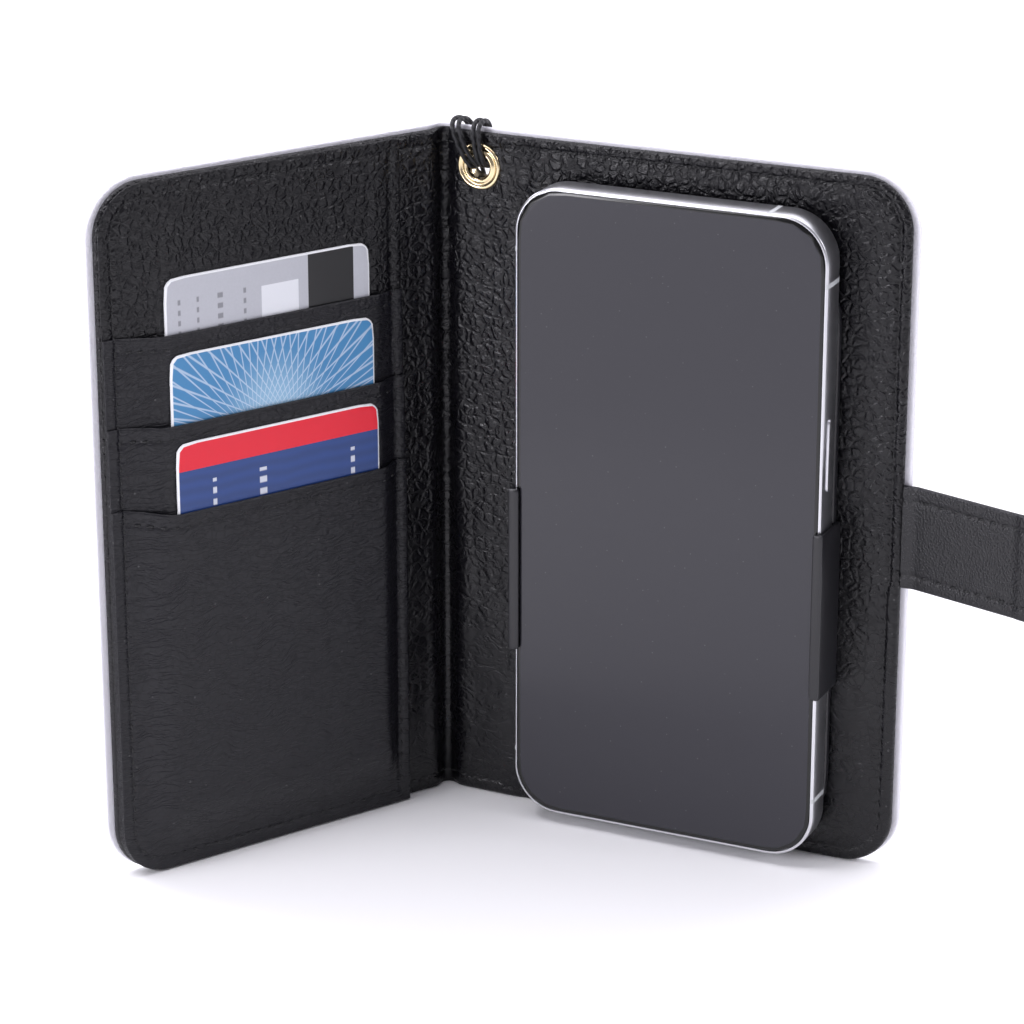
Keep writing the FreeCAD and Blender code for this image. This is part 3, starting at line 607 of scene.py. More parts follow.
# ---------------------------------------------------------------- finishes
class Wiring:
    """Adds nodes to one tree and joins them."""

    def __init__(self, tree: bpy.types.NodeTree) -> None:
        """Starts on a tree."""
        self.tree = tree

    def node(self, kind: str, settings: dict[str, object] | None = None,
             **inputs: object) -> bpy.types.Node:
        """Adds a node.

        Args:
            kind: Its type, without the ShaderNode prefix.
            settings: Its own settings.
            inputs: Values or sockets for its inputs, with _ for a space in a name.

        Returns:
            The node.
        """
        made = self.tree.nodes.new("ShaderNode" + kind)
        for key, value in (settings or {}).items():
            setattr(made, key, value)
        self.feed(made, **inputs)
        return made

    def feed(self, node: bpy.types.Node, **inputs: object) -> None:
        """Gives a node's named inputs their values or sockets, with _ for a space."""
        for key, value in inputs.items():
            self.set(node.inputs[key.replace("_", " ")], value)

    def set(self, socket: bpy.types.NodeSocket, value: object) -> None:
        """Gives an input a value, or joins it to another node's output."""
        if isinstance(value, bpy.types.NodeSocket):
            self.tree.links.new(value, socket)
        else:
            socket.default_value = value

    def sum(self, operation: str, *terms: object, clamp: bool = False) -> bpy.types.NodeSocket:
        """Adds a Math node."""
        made = self.node("Math", {"operation": operation, "use_clamp": clamp})
        for socket, term in zip(made.inputs, terms):
            self.set(socket, term)
        return made.outputs[0]

    def varied(self, level: float, mask: object, swing: float) -> bpy.types.NodeSocket:
        """Adds a mask, times its swing, to a level."""
        return self.sum("ADD", level, self.sum("MULTIPLY", mask, swing))

    def scaled(self, vector: object, factor: object) -> bpy.types.NodeSocket:
        """Scales a vector."""
        made = self.node("VectorMath", {"operation": "SCALE"}, Vector=vector, Scale=factor)
        return made.outputs[0]

    def mix(self, share: object, first: object, second: object) -> bpy.types.NodeSocket:
        """Mixes two colours."""
        made = self.node("Mix", {"data_type": "RGBA"})
        for index, value in ((0, share), (6, first), (7, second)):
            self.set(made.inputs[index], value)
        return made.outputs[2]

    def band(self, value: object, start: float, end: float) -> bpy.types.NodeSocket:
        """Rises smoothly from 0 at start to 1 at end."""
        made = self.node("MapRange", {"interpolation_type": "SMOOTHSTEP"})
        for index, item in enumerate((value, start, end, 0.0, 1.0)):
            self.set(made.inputs[index], item)
        return made.outputs[0]

    def between(self, value: object, low: float, high: float, soft: float = 0.1
                ) -> bpy.types.NodeSocket:
        """Is 1 between two values and 0 outside them."""
        return self.sum("MULTIPLY", self.band(value, low - soft, low + soft),
                        self.band(value, high + soft, high - soft))

    def noise(self, vector: object, size: float, detail: float = 2.0,
              rough: float = 0.5) -> bpy.types.NodeSocket:
        """Adds smooth noise with features of this size."""
        made = self.node("TexNoise", Vector=vector, Scale=1.0 / size, Detail=detail,
                         Roughness=rough)
        return made.outputs[0]

    def place(self) -> bpy.types.NodeSocket:
        """Gives the flat place stored in the mesh, in millimetres."""
        return self.node("Attribute", {"attribute_name": PLACE}).outputs["Vector"]

    def to_edge(self) -> bpy.types.NodeSocket:
        """Gives the stored distance to the piece's edge, in millimetres."""
        return self.node("Attribute", {"attribute_name": TO_EDGE}).outputs["Fac"]

    def parts(self, vector: object) -> tuple[bpy.types.NodeSocket, ...]:
        """Splits a vector into its x, y and z."""
        return tuple(self.node("SeparateXYZ", Vector=vector).outputs)

    def bump(self, height: object, depth: float) -> bpy.types.NodeSocket:
        """Turns heights from 0 to 1 into a normal, for a relief of this depth in millimetres."""
        return self.node("Bump", Strength=1.0, Distance=depth * MM, Height=height).outputs[0]


def new_group(name: str, inputs: dict[str, object], outputs: dict[str, str]
              ) -> tuple[bpy.types.NodeTree, Wiring, dict[str, object], bpy.types.Node]:
    """Starts a shader node group.

    Args:
        name: The group's name.
        inputs: Input names with their default values; None stands for a vector.
        outputs: Output names with their socket types.

    Returns:
        The group, its wiring, its inputs by name and its output node.
    """
    tree = bpy.data.node_groups.new(name, "ShaderNodeTree")
    for key, value in inputs.items():
        kind = "NodeSocketVector" if value is None else "NodeSocketFloat"
        socket = tree.interface.new_socket(name=key, in_out="INPUT", socket_type=kind)
        if value is not None:
            socket.default_value = value
    for key, kind in outputs.items():
        tree.interface.new_socket(name=key, in_out="OUTPUT", socket_type=kind)
    wiring = Wiring(tree)
    start, end = tree.nodes.new("NodeGroupInput"), tree.nodes.new("NodeGroupOutput")
    return tree, wiring, {key: start.outputs[key] for key in inputs}, end


def pebble_group() -> bpy.types.NodeTree:
    """Builds the pebbled grain: rounded cells with valleys between them."""
    tree, w, given, end = new_group(
        "Pebbled grain", {"Place": None, "Cell": 1.8, "Wander": 1.1},
        {"Height": "NodeSocketFloat", "Valley": "NodeSocketFloat"})
    scaled = w.scaled(given["Place"], w.sum("DIVIDE", 1.0, given["Cell"]))
    drift = w.node("TexNoise", Vector=scaled, Scale=0.8, Detail=2.0)
    centred = w.node("VectorMath", {"operation": "SUBTRACT"}, Vector=drift.outputs["Color"])
    centred.inputs[1].default_value = (0.5, 0.5, 0.5)
    pushed = w.node("VectorMath", {"operation": "MULTIPLY_ADD"})
    wander = w.node("CombineXYZ", **{axis: given["Wander"] for axis in "XYZ"})
    for socket, value in zip(pushed.inputs, (centred.outputs[0], wander.outputs[0], scaled)):
        w.set(socket, value)
    large, small = (
        w.node("TexVoronoi", {"feature": "DISTANCE_TO_EDGE"}, Vector=pushed.outputs[0],
               Scale=scale, Randomness=randomness).outputs[0]
        for scale, randomness in ((1.0, 0.9), (2.7, 1.0)))
    domes, fine = w.band(large, 0.0, 0.26), w.band(small, 0.0, 0.2)
    small_share = 0.12
    height = w.sum("ADD", w.sum("MULTIPLY", domes, 1 - small_share),
                   w.sum("MULTIPLY", fine, small_share))
    w.feed(end, Height=height, Valley=w.band(large, 0.1, 0.0))
    return tree


def wrinkle_group() -> bpy.types.NodeTree:
    """Builds fine wrinkles that run mostly one way."""
    tree, w, given, end = new_group(
        "Fine wrinkles", {"Place": None, "Across": 9.0, "Up": 1.6},
        {"Height": "NodeSocketFloat"})
    x, y, z = w.parts(given["Place"])
    bend = w.noise(given["Place"], 14.0)
    vector = w.node("CombineXYZ", X=w.sum("DIVIDE", x, given["Across"]),
                    Y=w.sum("ADD", w.sum("DIVIDE", y, given["Up"]), w.sum("MULTIPLY", bend, 5.0)),
                    Z=w.sum("MULTIPLY", z, 0.3))
    lines = w.node("TexNoise", Vector=vector.outputs[0], Scale=1.0, Detail=3.0, Roughness=0.55)
    ridge = w.sum("ABSOLUTE", w.sum("SUBTRACT", lines.outputs[0], 0.5))
    w.feed(end, Height=w.band(ridge, 0.0, 0.09))
    return tree


def dust_group() -> bpy.types.NodeTree:
    """Builds sparse specks of dust and the slow unevenness of a handled surface."""
    tree, w, given, end = new_group(
        "Dust and handling", {"Place": None, "Speck": 0.7},
        {"Specks": "NodeSocketFloat", "Handling": "NodeSocketFloat"})
    scaled = w.scaled(given["Place"], w.sum("DIVIDE", 1.0, given["Speck"]))
    cells = w.node("TexVoronoi", Vector=scaled, Scale=0.35, Randomness=1.0)
    sparse = w.band(w.parts(cells.outputs["Color"])[0], 0.86, 0.9)
    dots = w.band(cells.outputs[0], 0.16, 0.08)
    w.feed(end, Specks=w.sum("MULTIPLY", sparse, dots),
           Handling=w.noise(given["Place"], 22.0, 3.0))
    return tree


PEBBLED, WRINKLED, DUSTY = pebble_group(), wrinkle_group(), dust_group()


def grouped(w: Wiring, tree: bpy.types.NodeTree, **inputs: object) -> bpy.types.Node:
    """Places a node group in a material, with its own values."""
    made = w.node("Group", {"node_tree": tree})
    w.feed(made, **inputs)
    return made


def new_material(name: str, **constants: object
                 ) -> tuple[bpy.types.Material, Wiring, bpy.types.Node]:
    """Starts a material.

    Args:
        name: Its name.
        constants: Values of the Principled shader that are the same all over.

    Returns:
        The material, its wiring and its Principled shader.
    """
    material = bpy.data.materials.new(name)
    material.use_nodes = True
    material.node_tree.nodes.clear()
    w = Wiring(material.node_tree)
    shader = w.node("BsdfPrincipled", **constants)
    w.node("OutputMaterial", Surface=shader.outputs[0])
    return material, w, shader


Colour = tuple[float, float, float]


def rgba(colour: Colour, share: float = 1.0) -> tuple[float, float, float, float]:
    """Gives a colour as four numbers, brightened or darkened by the share."""
    return (colour[0] * share, colour[1] * share, colour[2] * share, 1.0)


@dataclass(frozen=True)
class Leather:
    """Leather with a pebbled grain, fine wrinkles, dust and handling marks.

    The grain grows with height, from grain_from up to its full depth at grain_full, and
    never falls below the share grain_least.
    """

    name: str
    colour: Colour
    crest: float = 1.5
    cell: float = 1.8
    grain: float = 0.16
    grain_least: float = 0.35
    grain_from: float = 20.0
    grain_full: float = 120.0
    wrinkle: float = 0.05
    wrinkle_across: float = 9.0
    wrinkle_up: float = 1.6
    rough: float = 0.4
    rough_swing: float = 0.14
    valley_rough: float = 0.18
    pore: float = 0.28
    pore_share: float = 0.10
    patch: float = 30.0
    gloss: float = 0.5
    dust: float = 0.1

    def material(self) -> bpy.types.Material:
        """Builds the material."""
        made, w, shader = new_material(self.name, Specular_IOR_Level=self.gloss)
        place = w.place()
        height_up = w.parts(place)[1]
        pebble = grouped(w, PEBBLED, Place=place, Cell=self.cell)
        crease = grouped(w, WRINKLED, Place=place, Across=self.wrinkle_across,
                         Up=self.wrinkle_up)
        dust = grouped(w, DUSTY, Place=place)
        drift = w.sum("MULTIPLY", w.sum("SUBTRACT", w.noise(place, self.patch), 0.5), 0.5)
        patches = w.sum("ADD", w.band(height_up, self.grain_from, self.grain_full), drift,
                        clamp=True)
        patches = w.sum("MAXIMUM", patches, self.grain_least)
        deepest = self.grain + self.wrinkle
        relief = w.sum("ADD",
                       w.sum("MULTIPLY", w.sum("MULTIPLY", pebble.outputs["Height"], patches),
                             self.grain / deepest),
                       w.sum("MULTIPLY", crease.outputs["Height"], self.wrinkle / deepest))
        pores = w.sum("MULTIPLY", w.noise(place, self.pore), self.pore_share)
        tone = w.mix(w.sum("MULTIPLY", pebble.outputs["Height"], dust.outputs["Handling"]),
                     rgba(self.colour), rgba(self.colour, self.crest))
        specks = w.sum("MULTIPLY", dust.outputs["Specks"], self.dust)
        rough = w.varied(self.rough - self.rough_swing / 2, dust.outputs["Handling"],
                         self.rough_swing)
        valleys = w.sum("MULTIPLY", pebble.outputs["Valley"], self.valley_rough)
        w.feed(shader, Normal=w.bump(w.sum("ADD", relief, pores), deepest),
               Base_Color=w.mix(specks, tone, (0.5, 0.5, 0.5, 1)),
               Roughness=w.sum("ADD", rough, valleys, clamp=True))
        return made


@dataclass(frozen=True)
class SandGrain:
    """Hard-wearing leather with a fine grain like sand, as on a strap."""

    name: str
    colour: Colour
    cell: float = 0.62
    depth: float = 0.07
    rough: float = 0.42
    rough_swing: float = 0.16
    edge_lightening: float = 0.35

    def material(self) -> bpy.types.Material:
        """Builds the material."""
        made, w, shader = new_material(self.name, Specular_IOR_Level=0.5)
        place = w.place()
        grain = w.node("TexVoronoi", {"feature": "F1"}, Vector=place, Scale=1 / self.cell,
                       Randomness=1.0)
        knobs = w.band(grain.outputs[0], 0.75, 0.1)
        dust = grouped(w, DUSTY, Place=place)
        relief = w.sum("ADD", w.sum("MULTIPLY", knobs, 0.8),
                       w.sum("MULTIPLY", w.noise(place, 0.2), 0.3))
        # A uniformly lighter band along the edges, within 0.8 mm of them.
        lighter_edge = w.sum("MULTIPLY", w.band(w.to_edge(), 0.8, 0.2), self.edge_lightening)
        tone = w.mix(knobs, rgba(self.colour, 0.8), rgba(self.colour, 1.5))
        w.feed(shader, Normal=w.bump(relief, self.depth),
               Base_Color=w.mix(lighter_edge, tone, rgba(self.colour, 3.0)),
               Roughness=w.varied(self.rough - 0.06, dust.outputs["Handling"],
                                  self.rough_swing))
        return made


@dataclass(frozen=True)
class ThreadFinish:
    """Twisted sewing thread or braided cord."""

    name: str
    colour: Colour
    twist: float = 0.35
    depth: float = 0.08
    rough: float = 0.5

    def material(self) -> bpy.types.Material:
        """Builds the material."""
        made, w, shader = new_material(self.name, Specular_IOR_Level=0.4, Sheen_Weight=0.02)
        place = w.node("TexCoord").outputs["Object"]
        plies = w.node("TexWave", {"bands_direction": "DIAGONAL"}, Vector=place,
                       Scale=1 / (self.twist * MM * WAVE), Distortion=1.5,
                       Detail=1.0).outputs["Fac"]
        w.feed(shader, Normal=w.bump(plies, self.depth),
               Base_Color=w.mix(plies, rgba(self.colour, 0.6), rgba(self.colour, 1.6)),
               Roughness=w.varied(self.rough - 0.05, plies, 0.15))
        return made


@dataclass(frozen=True)
class Metal:
    """Metal with fine scratches and a slight unevenness in its polish."""

    name: str
    colour: Colour
    rough: float
    swing: float = 0.1
    tarnish: float = 0.8
    scratch: float = 0.004

    def material(self) -> bpy.types.Material:
        """Builds the material."""
        made, w, shader = new_material(self.name, Metallic=1.0)
        place = w.place()
        patches = w.noise(place, 5.0, 3.0)
        x, y, z = w.parts(place)
        lines = w.node("CombineXYZ", X=w.sum("MULTIPLY", x, 0.4), Y=w.sum("MULTIPLY", y, 0.4),
                       Z=w.sum("MULTIPLY", z, 9.0))
        hair = w.node("TexNoise", Vector=lines.outputs[0], Scale=2.0, Detail=3.0)
        tone = w.mix(patches, rgba(self.colour), rgba(self.colour, self.tarnish))
        w.feed(shader, Base_Color=tone, Normal=w.bump(hair.outputs[0], self.scratch),
               Roughness=w.varied(self.rough - self.swing / 2, patches, self.swing))
        return made


@dataclass(frozen=True)
class Plastic:
    """Moulded plastic, or board, with a fine texture."""

    name: str
    colour: Colour
    rough: float = 0.45
    texture: float = 0.012
    grain: float = 0.25
    gloss: float = 0.5

    def material(self) -> bpy.types.Material:
        """Builds the material."""
        made, w, shader = new_material(self.name, Specular_IOR_Level=self.gloss)
        place = w.scaled(w.node("TexCoord").outputs["Object"], 1 / MM)
        handled = grouped(w, DUSTY, Place=place).outputs["Handling"]
        w.feed(shader,
               Base_Color=w.mix(handled, rgba(self.colour, 0.85), rgba(self.colour, 1.2)),
               Roughness=w.varied(self.rough - 0.06, handled, 0.12),
               Normal=w.bump(w.noise(place, self.grain, 2.0), self.texture))
        return made


@dataclass(frozen=True)
class ScreenGlass:
    """Cover glass with a black printed border, a dark display and faint smudges."""

    name: str
    display: Colour
    border: Colour
    border_wide: float = 0.9
    rough: float = 0.09

    def material(self) -> bpy.types.Material:
        """Builds the material."""
        made, w, shader = new_material(self.name, Specular_IOR_Level=0.5, IOR=1.5)
        place = w.place()
        dust = grouped(w, DUSTY, Place=place, Speck=0.45)
        inside = w.band(w.to_edge(), self.border_wide - 0.08, self.border_wide + 0.08)
        tone = w.mix(inside, rgba(self.border), rgba(self.display))
        specks = w.sum("MULTIPLY", dust.outputs["Specks"], 0.06)
        w.feed(shader, Base_Color=w.mix(specks, tone, (0.6, 0.6, 0.6, 1)),
               Roughness=w.varied(self.rough, dust.outputs["Handling"], 0.08))
        return made


class CardStyle(Enum):
    """The printed designs of the three cards."""

    STRIPED_BACK = "striped back"
    CROSSED_RAYS = "crossed rays"
    BANDED = "banded"


@dataclass(frozen=True)
class Dashes:
    """Upright rows of plain dashes: each row's place across, with half its width."""

    rows: tuple[Point, ...]
    per_mm: float
    end: float
    soft: float
    top: float
    share: float
    ink: Colour
    bottom: float = 60.0


STRIPED_DASHES = Dashes(((3.6, 0.35), (8.4, 0.3), (14.2, 0.7), (20.6, 0.35)), 0.42, 0.7, 0.08,
                        4.2, 0.55, (0.05, 0.05, 0.06))
BANDED_DASHES = Dashes(((9.6, 0.5), (22.4, 0.95), (46.6, 0.55)), 0.36, 0.72, 0.07, 9.5, 0.85,
                       (0.75, 0.78, 0.84))


@dataclass(frozen=True)
class CardPrint:
    """A printed and laminated card with a thin white border."""

    name: str
    style: CardStyle
    left: float
    high: float
    wide: float
    ground: Colour
    accent: Colour
    border_wide: float = 0.42
    rough: float = 0.3
    crisp: float = 0.06

    def material(self) -> bpy.types.Material:
        """Builds the material."""
        made, w, shader = new_material(self.name, Specular_IOR_Level=0.5, Coat_Weight=0.08,
                                       Coat_Roughness=0.12)
        place = w.place()
        x, z, _ = w.parts(place)
        across = w.sum("SUBTRACT", x, self.left)
        down = w.sum("SUBTRACT", self.high, z)
        draw = {CardStyle.STRIPED_BACK: self.striped, CardStyle.CROSSED_RAYS: self.rays,
                CardStyle.BANDED: self.banded}[self.style]
        tone = draw(w, across, down, place)
        inside = w.band(w.to_edge(), self.border_wide - self.crisp,
                        self.border_wide + self.crisp)
        handled = grouped(w, DUSTY, Place=place).outputs["Handling"]
        w.feed(shader, Base_Color=w.mix(inside, (0.85, 0.86, 0.88, 1), tone),
               Roughness=w.varied(self.rough, handled, 0.14),
               Normal=w.bump(w.noise(place, 0.35), 0.004))
        return made

    def box(self, w: Wiring, across: object, down: object, span: tuple[float, ...]
            ) -> bpy.types.NodeSocket:
        """Masks a rectangle given as left, right, top and bottom."""
        left, right, top, bottom = span
        return w.sum("MULTIPLY", w.between(across, left, right, self.crisp),
                     w.between(down, top, bottom, self.crisp))

    def dashed(self, w: Wiring, across: object, down: object, tone: object, dashes: Dashes
               ) -> bpy.types.NodeSocket:
        """Draws rows of dashes over a colour."""
        along = w.between(w.sum("FRACT", w.sum("MULTIPLY", down, dashes.per_mm)), 0.2,
                          dashes.end, dashes.soft)
        for place, half in dashes.rows:
            row = self.box(w, across, down, (place - half, place + half, dashes.top,
                                             dashes.bottom))
            inked = w.sum("MULTIPLY", row, w.sum("MULTIPLY", along, dashes.share))
            tone = w.mix(inked, tone, rgba(dashes.ink))
        return tone

    def striped(self, w: Wiring, across: object, down: object, place: object
                ) -> bpy.types.NodeSocket:
        """Draws the back of a card: a dark stripe, a pale panel and rows of plain dashes."""
        tone = w.mix(w.noise(place, 0.5, 3.0), rgba(self.ground), rgba(self.ground, 1.12))
        stripe = w.between(across, self.wide - 16.6, self.wide - 4.4, self.crisp)
        panel = self.box(w, across, down, (self.wide - 29.0, self.wide - 19.2, 5.6, 60.0))
        tone = w.mix(panel, tone, (0.80, 0.82, 0.86, 1))
        tone = self.dashed(w, across, down, tone, STRIPED_DASHES)
        return w.mix(stripe, tone, (0.008, 0.008, 0.009, 1))

    def rays(self, w: Wiring, across: object, down: object, place: object
             ) -> bpy.types.NodeSocket:
        """Draws two fans of pale rays that cross over a lit sky blue."""
        lit, count, centre_down, glow_down = 0.0, 60.0, 23.0, 18.0
        for shift in (0.40, 0.60):
            dx = w.sum("SUBTRACT", across, self.wide * shift)
            dy = w.sum("SUBTRACT", down, centre_down)
            angle = w.sum("ARCTAN2", dy, dx)
            saw = w.sum("FRACT", w.sum("MULTIPLY", angle, count / (2 * math.pi)))
            line = w.sum("ABSOLUTE", w.sum("SUBTRACT", saw, 0.5))
            lit = w.sum("MAXIMUM", lit, w.band(line, 0.11, 0.03))
        dx = w.sum("SUBTRACT", across, self.wide * 0.5)
        glow = w.sum("SQRT", w.sum("ADD", w.sum("POWER", dx, 2.0), w.sum(
            "POWER", w.sum("SUBTRACT", down, glow_down), 2.0)))
        tone = w.mix(w.band(glow, 17.0, 2.0), rgba(self.ground), rgba(self.accent))
        return w.mix(w.sum("MULTIPLY", lit, 0.5), tone, (0.80, 0.88, 0.97, 1))

    def banded(self, w: Wiring, across: object, down: object, place: object
               ) -> bpy.types.NodeSocket:
        """Draws a band across the top, faint rings and two rows of plain dashes."""
        waves = w.node("TexWave", {"wave_type": "RINGS"}, Vector=place, Scale=0.11,
                       Distortion=2.0)
        tone = w.mix(w.sum("MULTIPLY", waves.outputs["Fac"], 0.35), rgba(self.ground),
                     rgba(self.ground, 1.6))
        tone = self.dashed(w, across, down, tone, BANDED_DASHES)
        return w.mix(w.band(down, 6.6, 6.45), tone, rgba(self.accent))


# ---------------------------------------------------------------- the finishes of this case
LINING_FINISH = Leather("Pebbled black leather", (0.0022, 0.0020, 0.0032), cell=2.4, grain=0.17,
                        grain_least=0.10, wrinkle=0.05, wrinkle_across=5.0, wrinkle_up=2.6,
                        rough=0.27, rough_swing=0.16, gloss=0.36)
PANEL_FINISH = Leather("Black pocket panel leather", (0.0024, 0.0022, 0.0034), cell=2.2,
                       grain=0.16, grain_from=60.0, grain_full=150.0, grain_least=0.10,
                       wrinkle=0.06, wrinkle_across=7.0, wrinkle_up=2.2, rough=0.29, gloss=0.36)
POCKET_FINISH = Leather("Soft black pocket leather", (0.0040, 0.0038, 0.0062), cell=1.8,
                        grain=0.08, grain_from=30.0, grain_full=170.0, grain_least=0.15,
                        wrinkle=0.08, rough=0.36, gloss=0.38)
SKIN_FINISH = Leather("Pale lavender leather", (0.93, 0.92, 0.98), crest=1.0, cell=1.2,
                      grain=0.05, wrinkle=0.03, rough=0.5, dust=0.0)
STRAP_FINISH = SandGrain("Sand-grained strap leather", (0.0060, 0.0058, 0.0078), cell=0.55,
                         depth=0.10, rough=0.34)
THREAD_FINISH = ThreadFinish("Black sewing thread", (0.012, 0.012, 0.013))
CORD_FINISH = ThreadFinish("Black braided cord", (0.010, 0.010, 0.012), twist=0.5, depth=0.12)
BRASS_FINISH = Metal("Polished pale brass", (0.86, 0.71, 0.44), rough=0.15, tarnish=0.85)
STEEL_FINISH = Metal("Dark plated steel", (0.30, 0.30, 0.32), rough=0.3)
MAGNET_FINISH = Metal("Nickel-plated magnet", (0.62, 0.62, 0.63), rough=0.22)
CASING_FINISH = Metal("Silver phone metal", (0.68, 0.68, 0.71), rough=0.31, tarnish=0.93)
HOLDER_FINISH = Plastic("Black holder plastic", (0.012, 0.0118, 0.0145), rough=0.34)
BOARD_FINISH = Plastic("Grey stiffening board", (0.33, 0.31, 0.28), rough=0.8, texture=0.05)
TAPE_FINISH = Plastic("Adhesive film", (0.70, 0.69, 0.64), rough=0.5)
BAND_FINISH = Plastic("Pale band plastic", (0.55, 0.57, 0.58), rough=0.4, texture=0.004)
CORE_FINISH = Plastic("Phone inside", (0.08, 0.08, 0.08), rough=0.6)
SCREEN_FINISH = ScreenGlass("Phone screen glass", (0.020, 0.0195, 0.027), (0.003, 0.003, 0.003))
REAR_FINISH = ScreenGlass("Phone back glass", (0.30, 0.31, 0.33), (0.30, 0.31, 0.33), rough=0.35)


def dress(piece: bpy.types.Object, material: bpy.types.Material) -> bpy.types.Object:
    """Gives a piece its one material."""
    piece.data.materials.clear()
    piece.data.materials.append(material)
    log.info("made %s", piece.name)
    return piece


def fit(piece: bpy.types.Object, material: bpy.types.Material, slot: str, body: str,
        *nodes: str) -> bpy.types.Object:
    """Dresses a piece, stands it in for CAD nodes and lets it ride a body.

    Args:
        piece: The piece.
        material: Its material.
        slot: Not used.
        body: The body that it moves with.
        nodes: The CAD nodes that it stands in for, if any.

    Returns:
        The same piece.
    """
    dress(piece, material)
    if nodes:
        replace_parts(piece, *nodes)
    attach(piece, body)
    return piece


def dip(away: Numbers, inset: Numbers | float, deep: float, wide: float = 0.5) -> Numbers:
    """Gives the groove that a row of stitches pulls into the leather."""
    return -deep * np.exp(-((away - inset) / wide) ** 2)


def puckers(away: Numbers, run: Numbers, inset: Numbers | float, pitch: float,
            height: float) -> Numbers:
    """Gives the small swellings between stitches."""
    near = np.exp(-np.abs(away - inset) / 1.3)
    return height * near * np.cos(2 * math.pi * run / pitch + 0.8 * ripple(run / 7, away, 11))


